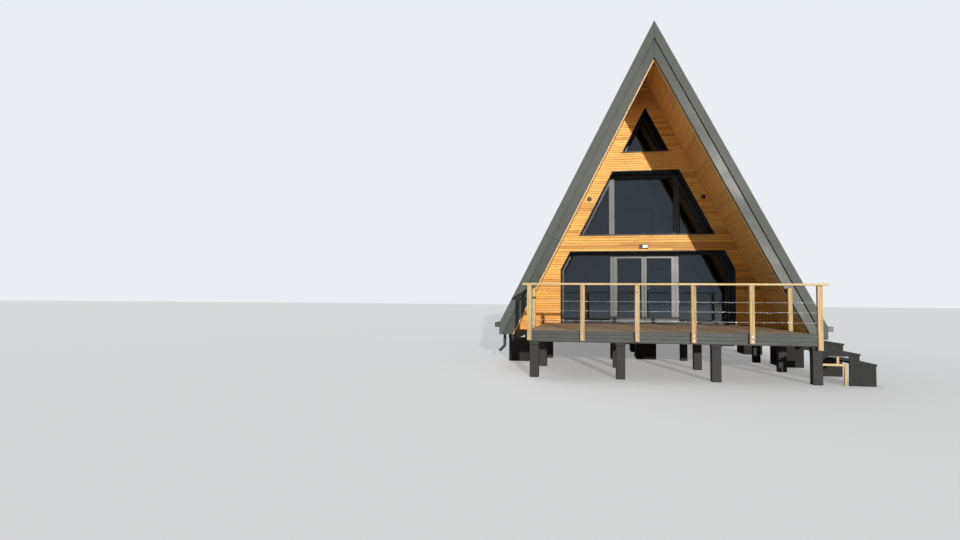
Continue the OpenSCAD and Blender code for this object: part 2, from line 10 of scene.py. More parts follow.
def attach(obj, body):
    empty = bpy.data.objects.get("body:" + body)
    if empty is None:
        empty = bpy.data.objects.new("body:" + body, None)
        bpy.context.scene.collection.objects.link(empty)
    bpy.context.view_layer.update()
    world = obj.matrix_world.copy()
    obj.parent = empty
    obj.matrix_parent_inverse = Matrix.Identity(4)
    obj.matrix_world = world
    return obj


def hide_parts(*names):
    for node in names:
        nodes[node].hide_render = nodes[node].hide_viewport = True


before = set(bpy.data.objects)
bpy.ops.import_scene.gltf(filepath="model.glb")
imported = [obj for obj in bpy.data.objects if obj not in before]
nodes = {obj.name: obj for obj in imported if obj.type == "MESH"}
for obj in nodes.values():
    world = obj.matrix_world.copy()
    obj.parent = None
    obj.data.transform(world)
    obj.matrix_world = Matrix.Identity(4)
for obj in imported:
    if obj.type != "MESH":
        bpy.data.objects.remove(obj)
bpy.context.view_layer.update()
draw = np.random.default_rng(47)
print("frame loaded with", len(nodes), "nodes")

# The house. Lengths are metres, X is across, Y runs to the back and Z is up.
house = dict(
    ridge=8.515, eaveTop=1.095, eaveReach=3.780, eaveBottom=0.800,
    trimRise=0.025, roofDepth=0.166, lining=0.018, beamDepth=0.200,
    frontY=-6.100, backY=6.100, trim=0.040,
    facadeY=-3.120, backFaceY=5.500, frameY=-2.470, backFrameY=5.230, frameDepth=0.070,
    floor=1.000,
)
apex, floorZ, lining = house["ridge"], house["floor"], house["lining"]
frontY, backY = house["frontY"], house["backY"]
frameY, frameDepth = house["frameY"], house["frameDepth"]
slope = house["eaveReach"] / (apex - house["eaveTop"])
pitch = math.atan2(1, slope)
cosPitch, sinPitch, tanPitch = math.cos(pitch), math.sin(pitch), math.tan(pitch)
eaveRun = house["eaveReach"] / cosPitch
outerDepth = house["trimRise"] + house["roofDepth"]
soffitDepth = outerDepth + lining
soffitApex = apex - soffitDepth / cosPitch
sheetEnds = (frontY + house["trim"], backY - house["trim"])  # where the sheets stop inside the verges


# Points from their coordinates, each a number or an array, spread to one shape.
def points(*coordinates):
    return np.stack(np.broadcast_arrays(*(np.asarray(c, float) for c in coordinates)), axis=-1)


# Front view points of X and Z put at Y, and side view points of Y and Z put at X.
def atY(flat, y):
    return points(flat[..., 0], y, flat[..., 1])


def atX(flat, x):
    return points(x, flat[..., 0], flat[..., 1])


# Point of the front view at a run down one roof side and a depth under the trim's line:
# the apex, plus the run along the slope, plus the depth square to it.
def roofPoint(side, run, depth):
    return points(side * (run * cosPitch - depth * sinPitch), apex - run * sinPitch - depth * cosPitch)


# Shapes. Each gives its corners, its groups of faces and one tone for each corner.

# Rings of corners joined in order, with both ends closed. rings is pieces x rings x sides x 3.
def joinRings(rings):
    count, rows, sides = rings.shape[:3]
    index = np.arange(count * rows * sides).reshape(count, rows, sides)
    ahead = np.roll(index, -1, axis=2)
    walls = np.stack([index[:, :-1], ahead[:, :-1], ahead[:, 1:], index[:, 1:]], axis=-1).reshape(-1, 4)
    groups = [walls, index[:, 0, ::-1], index[:, -1]]
    return rings.reshape(-1, 3), groups, np.repeat(draw.random(count), rows * sides)


# Boards: an outline at one end joined to the same outline at the other, corner to corner, with flat ends.
def boards(starts, ends):
    return joinRings(np.stack([starts, ends], axis=1))


# A front view outline of points in X and Z carried along the house from y0 to y1.
def carriedAlong(outline, y0, y1):
    flat = np.asarray(outline, float)
    flat = flat[None] if flat.ndim == 2 else flat
    return boards(*(atY(flat, np.reshape(y, (-1, 1))) for y in (y0, y1)))


# Faces of a box with cut edges, whose corners are numbered three to a corner of the plain box.
def cutBoxFaces():
    signs = list(itertools.product((-1, 1), repeat=3))
    quads = []
    for axis in range(3):
        u, v = (other for other in range(3) if other != axis)
        turn = ((-1, -1), (1, -1), (1, 1), (-1, 1))
        place = lambda end, su, sv: signs.index(tuple({axis: end, u: su, v: sv}[i] for i in range(3)))
        quads += [[place(end, *s) * 3 + axis for s in turn] for end in (-1, 1)]
        ends = ((-1, u), (1, u), (1, v), (-1, v))
        quads += [[place(end, *s) * 3 + edge for end, edge in ends] for s in turn]
    return np.array(quads), np.arange(24).reshape(8, 3), np.array(signs, float)


boxQuads, boxCorners, boxSigns = cutBoxFaces()


# Boxes with cut edges: every corner becomes three, one on each face, moved in along that face by the cut.
def cutBoxes(low, high, cut):
    low, high = np.broadcast_arrays(*(np.atleast_2d(np.asarray(c, float)) for c in (low, high)))
    middle, half = (low + high) / 2, (high - low) / 2
    inward = boxSigns[:, None, :] * (1 - np.eye(3))
    corners = middle[:, None, None] + boxSigns[:, None] * half[:, None, None] - inward * cut
    first = np.arange(len(low))[:, None, None] * 24
    groups = [(first + boxQuads).reshape(-1, 4), (first + boxCorners).reshape(-1, 3)]
    return corners.reshape(-1, 3), groups, np.repeat(draw.random(len(low)), 24)


# Directions round an axis: the cosine of one direction square to it plus the sine of the other.
def around(axis, angle):
    u = np.cross(axis, [0, 0, 1.0] if abs(axis[2]) < 0.9 else [1.0, 0, 0])
    u /= np.linalg.norm(u)
    return np.cos(angle)[..., None] * u + np.sin(angle)[..., None] * np.cross(axis, u)


# Turned pieces: a profile of distance along an axis and radius, carried round that axis at each origin.
def turned(origins, axis, profile, sides):
    axis = np.asarray(axis, float) / np.linalg.norm(axis)
    along, radius = (np.array(part)[:, None, None] for part in zip(*profile))
    rings = along * axis + radius * around(axis, np.arange(sides) * 2 * math.pi / sides)
    return joinRings(np.atleast_2d(np.asarray(origins, float))[:, None, None] + rings)


# Outline moved inwards: each edge is shifted square to itself and neighbouring edges meet again.
def inset(outline, margin):
    ahead = np.roll(outline, -1, axis=0) - outline
    ahead /= np.linalg.norm(ahead, axis=1, keepdims=True)
    inward = np.stack([-ahead[:, 1], ahead[:, 0]], axis=1)
    level = np.sum(inward * outline, axis=1) + margin
    before, past = np.roll(inward, 1, axis=0), np.roll(level, 1)
    across = before[:, 0] * inward[:, 1] - before[:, 1] * inward[:, 0]
    x = (past * inward[:, 1] - level * before[:, 1]) / across
    z = (level * before[:, 0] - past * inward[:, 0]) / across
    return np.stack([x, z], axis=1)


# Frame round an outline: a section of margins and depths is carried from corner to corner, with mitres.
def frameRound(outline, section):
    rings = np.stack([atY(inset(outline, margin), y) for margin, y in section], axis=1)
    return boards(rings, np.roll(rings, -1, axis=0))


# The part of an outline on one side of an upright line.
def cutOutline(outline, x, keepRight):
    inside = lambda p: (p[0] >= x) if keepRight else (p[0] <= x)
    kept = []
    for here, there in zip(outline, np.roll(outline, -1, axis=0)):
        if inside(here):
            kept.append(here)
        if inside(here) != inside(there):
            kept.append(here + (there - here) * (x - here[0]) / (there[0] - here[0]))
    return np.array(kept)


# Both sides of the house: the shape and its copy with X turned over.
def bothSides(shape):
    corners, groups, tones = shape
    return [shape, (corners * [-1, 1, 1], groups, tones)]


# Makes one piece of the shapes, turns its faces outwards and puts it on its body.
def makePiece(name, shapes, material, body="cabin", stands=None, smooth=False, bevel=0.0):
    shapes = shapes if isinstance(shapes, list) else [shapes]
    faces, first = [], 0
    for corners, groups, tones in shapes:
        for group in groups:
            faces += (group + first).tolist()
        first += len(corners)
    mesh = bpy.data.meshes.new(name)
    mesh.from_pydata(np.concatenate([s[0] for s in shapes]).tolist(), [], faces)
    tone = mesh.attributes.new("tone", "FLOAT", "POINT")
    tone.data.foreach_set("value", np.concatenate([s[2] for s in shapes]).astype(np.float32))
    shell = bmesh.new()
    shell.from_mesh(mesh)
    bmesh.ops.recalc_face_normals(shell, faces=shell.faces)
    shell.to_mesh(mesh)
    shell.free()
    mesh.materials.append(material)
    mesh.polygons.foreach_set("use_smooth", [smooth] * len(mesh.polygons))
    if smooth:
        mesh.set_sharp_from_angle(angle=math.radians(38))
    piece = bpy.data.objects.new(name, mesh)
    bpy.context.scene.collection.objects.link(piece)
    if bevel:
        edge = piece.modifiers.new("edge", "BEVEL")
        edge.width, edge.segments, edge.limit_method = bevel, 1, "ANGLE"
        edge.angle_limit = math.radians(30)
    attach(piece, body)
    if stands:
        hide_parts(stands)


# Gives CAD nodes whose shape stays their finish.
def finishNodes(material, *names):
    for name in names:
        nodes[name].data.materials.clear()
        nodes[name].data.materials.append(material)


# Materials

# Screen colour from 0 to 255 as a linear colour: the power 2.2 of its share, times a factor.
def paint(colour, factor=1.0):
    return tuple(factor * (c / 255) ** 2.2 for c in colour) + (1.0,)


# A shader node with its settings. An input is given a value, or linked if it is another node's output.
def addNode(tree, kind, inputs=(), **settings):
    made = tree.nodes.new("ShaderNode" + kind)
    for key, value in settings.items():
        setattr(made, key, value)
    for key, value in dict(inputs).items():
        if isinstance(value, bpy.types.NodeSocket):
            tree.links.new(value, made.inputs[key])
        else:
            made.inputs[key].default_value = value
    return made


# A new material, with its node tree and the place that patterns are drawn by.
def newMaterial(name, **settings):
    material = bpy.data.materials.new(name)
    material.use_nodes = True
    tree = material.node_tree
    for key, value in settings.items():
        tree.nodes["Principled BSDF"].inputs[key.replace("_", " ")].default_value = value
    return material, tree, addNode(tree, "TexCoord").outputs["Object"]


def sumOf(tree, operation, a, b):
    return addNode(tree, "Math", {0: a, 1: b}, operation=operation).outputs[0]


def vectorOf(tree, operation, inputs):
    return addNode(tree, "VectorMath", inputs, operation=operation).outputs[0]


def mixColours(tree, share, a, b, blend="MIX"):
    return addNode(tree, "Mix", {0: share, 6: a, 7: b}, data_type="RGBA", blend_type=blend).outputs[2]


# A value's place between low and high, carried over to the range from toLow to toHigh.
def spread(tree, value, low, high, toLow, toHigh):
    inputs = {"Value": value, "From Min": low, "From Max": high, "To Min": toLow, "To Max": toHigh}
    return addNode(tree, "MapRange", inputs).outputs[0]


def colourRamp(tree, value, *stops):
    made = addNode(tree, "ValToRGB", {0: value})
    while len(made.color_ramp.elements) < len(stops):
        made.color_ramp.elements.new(0.5)
    for element, (place, colour) in zip(made.color_ramp.elements, stops):
        element.position, element.color = place, colour
    return made.outputs[0]


def noise(tree, place, scale, detail=4.0, rough=0.55, twist=0.0):
    inputs = {"Vector": place, "Scale": scale, "Detail": detail, "Roughness": rough, "Distortion": twist}
    return addNode(tree, "TexNoise", inputs).outputs[0]


# The distance from scattered spots, for knots and pores.
def spotsOf(tree, place, scale):
    return addNode(tree, "TexVoronoi", {"Vector": place, "Scale": scale}).outputs["Distance"]


# The tone that each board was given.
def toneOf(tree):
    return addNode(tree, "Attribute", attribute_name="tone").outputs["Fac"]


# The place drawn out along the grain: many changes across it and few along it.
def alongGrain(tree, place, grain, look):
    stretch = [look["across"]] * 3
    stretch["XYZ".index(grain)] = look["along"]
    return vectorOf(tree, "MULTIPLY", {0: place, 1: stretch})


# Joins what a material has worked out to its shader: colour, roughness and the height of its bumps.
def joinShader(tree, height, strength, distance, colour=None, rough=None):
    bump = addNode(tree, "Bump", {"Height": height, "Strength": strength, "Distance": distance}).outputs[0]
    for key, value in (("Normal", bump), ("Base Color", colour), ("Roughness", rough)):
        if value is not None:
            tree.links.new(value, tree.nodes["Principled BSDF"].inputs[key])


# Timber: long streaks of noise along the grain, a shift of pattern and tone from board to board, and knots.
# A fade tints it below a height, and leaves it plain above another.
timberLook = dict(across=34.0, along=1.6, shift=(17.3, 9.1, 23.7), fineShare=0.35, toneTint=(0.9, 1.1, 1.25),
                  middleTone=0.35, knotScale=5.2, knotShade=0.28, rough=0.62, roughDrift=0.1, bump=0.3,
                  bumpDepth=0.002)


def timber(name, grain, pale, deep, toneSpread, knots=0.85, fade=None):
    look = timberLook
    rough, drift = look["rough"], look["roughDrift"]
    pale, deep, dark = paint(pale), paint(deep), paint(deep, look["knotShade"])
    material, tree, place = newMaterial(name, Roughness=rough)
    tone = toneOf(tree)
    shift = vectorOf(tree, "SCALE", {0: look["shift"], "Scale": tone})
    shifted = vectorOf(tree, "ADD", {0: place, 1: shift})
    long = alongGrain(tree, shifted, grain, look)
    streaks = noise(tree, long, 1.0, 5.0, 0.6, 0.5)
    fine = noise(tree, long, 5.0, 3.0, 0.6)
    between = tuple(0.5 * (a + b) for a, b in zip(pale, deep))
    colour = colourRamp(tree, streaks, (0.36, deep), (0.47, between), (0.60, pale))
    colour = mixColours(tree, look["fineShare"], colour, colourRamp(tree, fine, (0.35, deep), (0.65, pale)))
    low, middle = (tuple(1 - share * toneSpread * s for s in look["toneTint"]) + (1,)
                   for share in (1.0, look["middleTone"]))
    tint = colourRamp(tree, tone, (0.0, low), (0.3, middle), (1.0, (1.0, 1.0, 1.0, 1)))
    colour = mixColours(tree, 1.0, colour, tint, "MULTIPLY")
    spots = spotsOf(tree, shifted, look["knotScale"])
    for near, far, share, stuff in ((0.09, 0.17, 0.35 * knots, deep), (0.05, 0.11, knots, dark)):
        colour = mixColours(tree, spread(tree, spots, near, far, share, 0.0), colour, stuff)
    if fade:
        level = addNode(tree, "SeparateXYZ", {0: place}).outputs["Z"]
        share = spread(tree, level, fade["low"], fade["high"], 1.0, 0.0)
        colour = mixColours(tree, share, colour, mixColours(tree, 1.0, colour, fade["tint"], "MULTIPLY"))
    height = sumOf(tree, "ADD", streaks, sumOf(tree, "MULTIPLY", fine, 0.5))
    joinShader(tree, height, look["bump"], look["bumpDepth"], colour,
               spread(tree, fine, 0.3, 0.7, rough - drift, rough + drift))
    return material


# Painted sheet: an even coat whose gloss and shade drift a little, with shallow waves in the sheet.
sheetLook = dict(broad=0.9, grainy=60.0, grainyShare=0.3, roughDrift=0.07, waveDepth=0.004)


def sheetMetal(name, colour, rough=0.42, drift=0.12, wave=0.15, metallic=0.0, shine=0.5):
    look = sheetLook
    material, tree, place = newMaterial(name, Roughness=rough, Metallic=metallic, Specular_IOR_Level=shine)
    broad = noise(tree, place, look["broad"], 3.0)
    grainy = noise(tree, place, look["grainy"], 2.0)
    darker, lighter = paint(colour, 1 - drift), paint(colour, 1 + drift)
    shade = mixColours(tree, look["grainyShare"], colourRamp(tree, broad, (0.35, darker), (0.65, lighter)),
                       colourRamp(tree, grainy, (0.3, darker), (0.7, lighter)))
    height = sumOf(tree, "ADD", sumOf(tree, "MULTIPLY", broad, 6.0), sumOf(tree, "MULTIPLY", grainy, 0.06))
    gloss = spread(tree, broad, 0.3, 0.7, rough - look["roughDrift"], rough + look["roughDrift"])
    joinShader(tree, height, wave, look["waveDepth"], shade, gloss)
    return material


# Painted timber: the coat's colour with the grain showing through as fine streaks and bump.
coatLook = dict(across=45.0, along=2.2, broad=2.5, darker=0.78, lighter=1.18, toneShare=0.22,
                bump=0.3, bumpDepth=0.002)


def paintedTimber(name, grain, colour, rough=0.55):
    look = coatLook
    material, tree, place = newMaterial(name, Roughness=rough)
    streaks = noise(tree, alongGrain(tree, place, grain, look), 1.0, 5.0, 0.65, 0.3)
    broad = noise(tree, place, look["broad"], 3.0)
    darker, lighter = paint(colour, look["darker"]), paint(colour, look["lighter"])
    coats = (colourRamp(tree, pattern, (0.35, darker), (0.65, lighter)) for pattern in (streaks, broad))
    shade = mixColours(tree, 0.5, *coats)
    shade = mixColours(tree, spread(tree, toneOf(tree), 0.0, 1.0, look["toneShare"], 0.0), shade, darker)
    gloss = spread(tree, streaks, 0.3, 0.7, rough - 0.08, rough + 0.1)
    joinShader(tree, streaks, look["bump"], look["bumpDepth"], shade, gloss)
    return material


# Concrete: clouds of shade, fine sand and small round pores.
concreteLook = dict(clouds=3.0, sand=90.0, sandShare=0.35, pores=22.0, poreShade=0.35, darker=0.7,
                    lighter=1.35, bump=0.4, bumpDepth=0.004)


def concrete(name, colour, rough=0.85):
    look = concreteLook
    material, tree, place = newMaterial(name, Roughness=rough)
    clouds = noise(tree, place, look["clouds"], 6.0, 0.6)
    sand = noise(tree, place, look["sand"], 3.0)
    darker, lighter = paint(colour, look["darker"]), paint(colour, look["lighter"])
    shade = mixColours(tree, look["sandShare"], colourRamp(tree, clouds, (0.35, darker), (0.66, lighter)),
                       colourRamp(tree, sand, (0.3, darker), (0.7, lighter)))
    pore = spread(tree, spotsOf(tree, place, look["pores"]), 0.06, 0.11, 1.0, 0.0)
    shade = mixColours(tree, pore, shade, paint(colour, look["poreShade"]))
    height = sumOf(tree, "ADD", clouds, sumOf(tree, "MULTIPLY", sand, 0.25))
    joinShader(tree, sumOf(tree, "SUBTRACT", height, pore), look["bump"], look["bumpDepth"], shade)
    return material


# A CAD surface that is one stuff between two limits of a coordinate, and another outside them.
def twoFaced(name, axis, low, high, outside, inside):
    material, tree, place = newMaterial(name, Roughness=0.8)
    part = addNode(tree, "SeparateXYZ", {0: place}).outputs[axis]
    away = sumOf(tree, "ABSOLUTE", sumOf(tree, "SUBTRACT", part, (low + high) / 2), 0.0)
    past = sumOf(tree, "GREATER_THAN", away, (high - low) / 2)
    cloud, fine = noise(tree, place, 6.0, 5.0), noise(tree, place, 70.0, 3.0)
    stuffs = (colourRamp(tree, cloud, (0.3, paint(c, 0.85)), (0.7, paint(c, 1.1))) for c in (inside, outside))
    joinShader(tree, sumOf(tree, "ADD", cloud, fine), 0.15, 0.002, mixColours(tree, past, *stuffs))
    return material


# Insulated glass: tinted, clear and smooth, with a very slight wave.
# The blue tint on its reflections is a painted reflection of a blue sky.
glassLook = dict(Roughness=0.02, IOR=1.8, Transmission_Weight=0.94, Specular_Tint=(0.75, 0.88, 1.0, 1.0))


def glassPane(name, tint):
    material, tree, place = newMaterial(name, Base_Color=paint(tint), **glassLook)
    wave, smear = noise(tree, place, 0.8, 2.0), noise(tree, place, 5.0, 5.0)
    joinShader(tree, wave, 0.1, 0.004, rough=spread(tree, smear, 0.35, 0.75, 0.01, 0.06))
    return material


larchFacade = timber("larch boards", "X", (255, 212, 120), (236, 163, 72), 0.42,
                     fade=dict(low=1.6, high=4.6, tint=(0.94, 0.82, 0.62, 1)))
# The soffit's larch is paler than the wall's: painted light, for the light thrown up under the roof.
litLarchSoffit = timber("larch soffit with painted light", "Y", (255, 218, 144), (248, 192, 112), 0.24)
larchPale = timber("pale larch", "Z", (244, 212, 160), (226, 186, 130), 0.15, 0.4)
postTimber = timber("post timber", "Z", (212, 186, 132), (150, 116, 70), 0.3)
capTimber = timber("cap timber", "X", (214, 190, 140), (182, 154, 106), 0.2)
capTimberSide = timber("side cap timber", "Y", (214, 190, 140), (182, 154, 106), 0.2)
deckTimber = timber("deck timber", "X", (176, 158, 134), (128, 106, 82), 0.35, 0.5)
joistTimber = timber("joist timber", "Y", (206, 168, 116), (160, 116, 70), 0.3)
supportTimber = timber("support timber", "Z", (218, 192, 142), (184, 152, 102), 0.2)
floorTimber = timber("floor timber", "Y", (206, 174, 130), (166, 128, 84), 0.25, 0.5)
darkTimber = paintedTimber("dark timber", "Y", (44, 40, 36))
beamTimber = paintedTimber("beam timber", "X", (62, 52, 42))
fasciaPaint = paintedTimber("fascia paint", "X", (58, 62, 60))
fasciaSidePaint = paintedTimber("side fascia paint", "Y", (58, 62, 60))
# The stair's coat is darker than its own colour: partly its dark paint and partly painted shade.
stairPaintAndShade = paintedTimber("stair paint and painted shade", "Y", (22, 22, 23), 0.7)
roofSheet = sheetMetal("roof sheet", (58, 62, 65), 0.42, 0.1)
trimSheet = sheetMetal("trim sheet", (80, 83, 79), 0.62, 0.06, 0.08, shine=0.4)
trimSheetInner = sheetMetal("inner trim sheet", (62, 66, 61), 0.42, 0.05, 0.05, shine=0.32)
gutterSheet = sheetMetal("gutter sheet", (48, 52, 55), 0.4, 0.08, 0.05)
windowPaint = sheetMetal("window paint", (62, 64, 64), 0.35, 0.05, 0.02)
# A black coat: the reveals' and sills' own colour, and painted shade on the frame rims and in the verge
# grooves.
darkCoatAndShade = sheetMetal("dark coat and painted shade", (26, 27, 29), 0.45, 0.1, 0.02)
brownPlastic = sheetMetal("brown plastic", (112, 66, 34), 0.5, 0.12, 0.02)
darkPlastic = sheetMetal("dark plastic", (30, 30, 31), 0.5, 0.1, 0.02)
rubber = sheetMetal("rubber", (18, 18, 19), 0.7, 0.1, 0.02)
lampLens = sheetMetal("lamp lens", (242, 242, 236), 0.3, 0.02, 0.02)
cableSteel = sheetMetal("cable steel", (176, 178, 180), 0.3, 0.05, 0.02, 1.0)
boltSteel = sheetMetal("bolt steel", (150, 152, 154), 0.35, 0.08, 0.02, 1.0)
pierPaint = concrete("pier paint", (42, 42, 39), 0.7)
blockConcrete = concrete("dark concrete", (37, 36, 34))
glazing = glassPane("glazing", (60, 70, 78))
wallInside = twoFaced("wall", "Y", house["facadeY"] + 0.02, house["backFaceY"] - 0.02,
                      (22, 21, 20), (214, 204, 188))
roofInside = twoFaced("roof inside", "Z", house["eaveBottom"] + 0.01, apex + 1.0,
                      (40, 38, 36), (206, 178, 138))
print("materials made")

# Front and back walls: level boards on the walls' outer faces, cut to the roof and round the windows.
walls = dict(
    front=dict(face=house["facadeY"], frame=frameY, out=-1),
    back=dict(face=house["backFaceY"], frame=house["backFrameY"] + frameDepth, out=1),
)
cladding = dict(pitch=0.072, gap=0.007, thick=0.020, cut=0.0035, sideGap=0.007, topGap=0.06,
                longest=3.6, jointHalf=0.001, jointSpread=0.33)
patio = dict(half=2.4256, knee=2.565, top=3.101, mullion=0.935, mullionWidth=0.090, threshold=0.040)
upperWindow = dict(half=1.8880, sill=3.567, top=5.4298, mullionWidth=0.150)
gableWindow = dict(half=0.661, sill=5.9758)
backWindow = dict(reach=1.300, width=1.000, sill=1.900, top=3.050)
frameWidth = 0.060
gableTop = gableWindow["sill"] + gableWindow["half"] / slope
patioTopHalf = patio["half"] - slope * (patio["top"] - patio["knee"])
upperTopHalf = upperWindow["half"] - slope * (upperWindow["top"] - upperWindow["sill"])
inner, outer = (backWindow["reach"] + way * backWindow["width"] / 2 for way in (-1, 1))


# Window outline, turning left as it goes round, from half widths at heights, foot first.
def evenOutline(*halves):
    right = [[half, z] for half, z in halves]
    left = [[-half, z] for half, z in halves[::-1] if half > 0]
    return np.array(left[-1:] + right + left[:-1])


# Corners of an upright rectangle, in the same order.
def squareOutline(x0, x1, z0, z1):
    return np.array([[x0, z0], [x1, z0], [x1, z1], [x0, z1]])


upperOutline = evenOutline((upperWindow["half"], upperWindow["sill"]), (upperTopHalf, upperWindow["top"]))
gableOutline = evenOutline((gableWindow["half"], gableWindow["sill"]), (0.0, gableTop))
patioOutline = evenOutline((patio["half"], floorZ), (patio["half"], patio["knee"]),
                           (patioTopHalf, patio["top"]))
backSides = ((inner, outer), (-outer, -inner))
backSquares = [squareOutline(*xs, backWindow["sill"], backWindow["top"]) for xs in backSides]
outlines = dict(front=[upperOutline, gableOutline, patioOutline],
                back=[upperOutline, gableOutline, *backSquares])


# Courses of boards between two heights. Between neighbouring edges, each a line from its foot to its top,
# every course is a board whose ends follow the edges, parted by upright joints where it is long.
def courses(low, high, edges, wall):
    cut, thick, joint, stray = (cladding[key] for key in ("cut", "thick", "jointHalf", "jointSpread"))
    rows = max(1, round((high - low) / cladding["pitch"]))
    levels = np.linspace(low, high, rows + 1)
    z0, z1 = levels[:-1] + cladding["gap"] / 2, levels[1:] - cladding["gap"] / 2
    middle = (z0 + z1) / 2
    height = np.stack([z0, z0, z0 + cut, z1 - cut, z1, z1], axis=1)
    share = (height - z0[:, None]) / (z1 - z0)[:, None]
    y = wall["face"] + wall["out"] * np.array([0, thick - cut, thick, thick, thick - cut, 0])
    at = lambda edge, z: edge[0] + (edge[1] - edge[0]) * (z - low) / (high - low)
    shapes = []
    for left, right in zip(edges[::2], edges[1::2]):
        widest = max(right[0] - left[0], right[1] - left[1])
        parts = max(1, math.ceil(widest / cladding["longest"]))
        joints = (np.arange(1, parts) + draw.uniform(-stray, stray, (rows, parts - 1))) / parts
        marks = at(left, middle)[:, None] + joints * (at(right, middle) - at(left, middle))[:, None]
        for part in range(parts):
            leftEnd = (at(left, z0), at(left, z1)) if part == 0 else (marks[:, part - 1] + joint,) * 2
            rightEnd = (at(right, z0), at(right, z1)) if part == parts - 1 else (marks[:, part] - joint,) * 2
            shapes.append(boards(*(points(foot[:, None] + share * (top - foot)[:, None], y, height)
                                   for foot, top in (leftEnd, rightEnd))))
    return shapes


# Half of the boarded width at a height: the slope times the drop from the soffit's apex, less a gap.
def outerEdge(z):
    return slope * (soffitApex - z) - cladding["sideGap"]


# Left and right edge of a hole in the boards, from its half widths at the foot and the top.
def evenHole(foot, top):
    return [(-foot, -top), (foot, top)]


# A whole wall: its lower zones, then the zones of the upper window and the gable up to the soffit.
def wallBoards(wall, lower):
    zones = lower + [
        (upperWindow["sill"], upperWindow["top"], evenHole(upperWindow["half"], upperTopHalf)),
        (upperWindow["top"], gableWindow["sill"], []),
        (gableWindow["sill"], gableTop, evenHole(gableWindow["half"], 0.0)),
        (gableTop, soffitApex - cladding["topGap"], []),
    ]
    shapes = []
    for low, high, holes in zones:
        foot, top = outerEdge(low), outerEdge(high)
        shapes += courses(low, high, [(-foot, -top), *holes, (foot, top)], wall)
    return shapes


# Below the floor the front's boards stand only outside the deck.
skirt = dict(low=0.803, high=1.004, left=-2.866, right=2.902)
frontLower = [
    (skirt["low"], skirt["high"], [(x, x) for x in (skirt["left"], skirt["right"])]),
    (skirt["high"], patio["knee"], evenHole(patio["half"], patio["half"])),
    (patio["knee"], patio["top"], evenHole(patio["half"], patioTopHalf)),
    (patio["top"], upperWindow["sill"], []),
]
backLower = [
    (skirt["low"], skirt["high"], []),
    (skirt["high"], backWindow["sill"], []),
    (backWindow["sill"], backWindow["top"], [(x, x) for x in (-outer, -inner, inner, outer)]),
    (backWindow["top"], upperWindow["sill"], []),
]
for end, lower in (("front", frontLower), ("back", backLower)):
    makePiece(end + "_wall_boards", wallBoards(walls[end], lower), larchFacade)
finishNodes(wallInside, "front_wall_lower", "front_wall_band", "front_wall_upper", "front_wall_gable",
            "back_wall_lower", "back_wall_upper", "back_wall_gable")
print("walls clad")

# Reveals: a black sheet lines each opening from the boards' faces back to the window frame.
# Shade strips: a dark strip over each window frame's outer rim, painted shade for the reveal's shadow on it.
reveal = dict(stand=0.006, sheet=0.020, edge=0.004, stop=0.052, stopFoot=0.002, stopFace=0.010)


# Sections of margins into the opening and depths.
def revealSection(wall):
    out, sheet, edge = wall["out"], reveal["sheet"], reveal["edge"]
    front = wall["face"] + out * (cladding["thick"] + reveal["stand"])
    return [(0.0, wall["frame"]), (0.0, front - out * edge), (edge, front),
            (sheet - edge, front), (sheet, front - out * edge), (sheet, wall["frame"])]


# A dark strip lying on the frame's rim: painted shade, not a part of the frame.
def shadeStripSection(wall):
    near, far = (wall["frame"] + wall["out"] * reveal[key] for key in ("stopFoot", "stopFace"))
    return [(reveal["sheet"], near), (reveal["sheet"], far), (reveal["stop"], far), (reveal["stop"], near)]


for kind, section in (("reveals", revealSection), ("frame_shade_strips", shadeStripSection)):
    for end, wall in walls.items():
        shapes = [frameRound(outline, section(wall)) for outline in outlines[end]]
        makePiece(f"{end}_{kind}", shapes, darkCoatAndShade)

# Sills: a folded sheet under each window above the floor, with a drip edge.
sill = dict(reach=0.045, drop=0.012, over=0.020, fall=0.006, edge=0.003, sheet=0.004)


# Section of the sheet in Y and Z, carried from one end of the window to the other.
def sillUnder(x0, x1, z, wall):
    face = wall["face"] + wall["out"] * cladding["thick"]
    tip, back = (face + wall["out"] * reach for reach in (sill["reach"], sill["reach"] - sill["edge"]))
    low = z - sill["fall"] - sill["drop"]
    section = np.array([(wall["face"], z), (face, z), (tip, z - sill["fall"]), (tip, low), (back, low),
                        (back, z - sill["fall"] - sill["sheet"]), (face, z - sill["sheet"]),
                        (wall["face"], z - sill["sheet"])])
    return boards(*(atX(section, x)[None] for x in (x0 - sill["over"], x1 + sill["over"])))


sills = [sillUnder(-window["half"], window["half"], window["sill"], wall)
         for wall in walls.values() for window in (upperWindow, gableWindow)]
sills += [sillUnder(*xs, backWindow["sill"], walls["back"]) for xs in backSides]
makePiece("window_sills", sills, darkCoatAndShade)

# Panes: the outlines of the visible glass, then a sloped bead and a rubber seal round each on both faces.
upperMullion = [patio["mullion"] + way * upperWindow["mullionWidth"] / 2 for way in (-1, 1)]
upperGlass = inset(upperOutline, frameWidth)
upperPanes = [cutOutline(cutOutline(upperGlass, upperMullion[0], False), -upperMullion[0], True),
              cutOutline(upperGlass, upperMullion[1], True), cutOutline(upperGlass, -upperMullion[1], False)]
patioGlass = inset(patioOutline, frameWidth)
patioGlass[:2, 1] = floorZ + patio["threshold"]
patioSide = patio["mullion"] + patio["mullionWidth"] / 2
patioPanes = [cutOutline(patioGlass, patioSide, True), cutOutline(patioGlass, -patioSide, False)]
gablePane = inset(gableOutline, frameWidth)
backPanes = [inset(outline, frameWidth) for outline in backSquares]
bead = dict(width=0.014, seal=0.007, glass=0.014, stand=0.004, inside=0.004, sealStand=0.003, sealEdge=0.001)


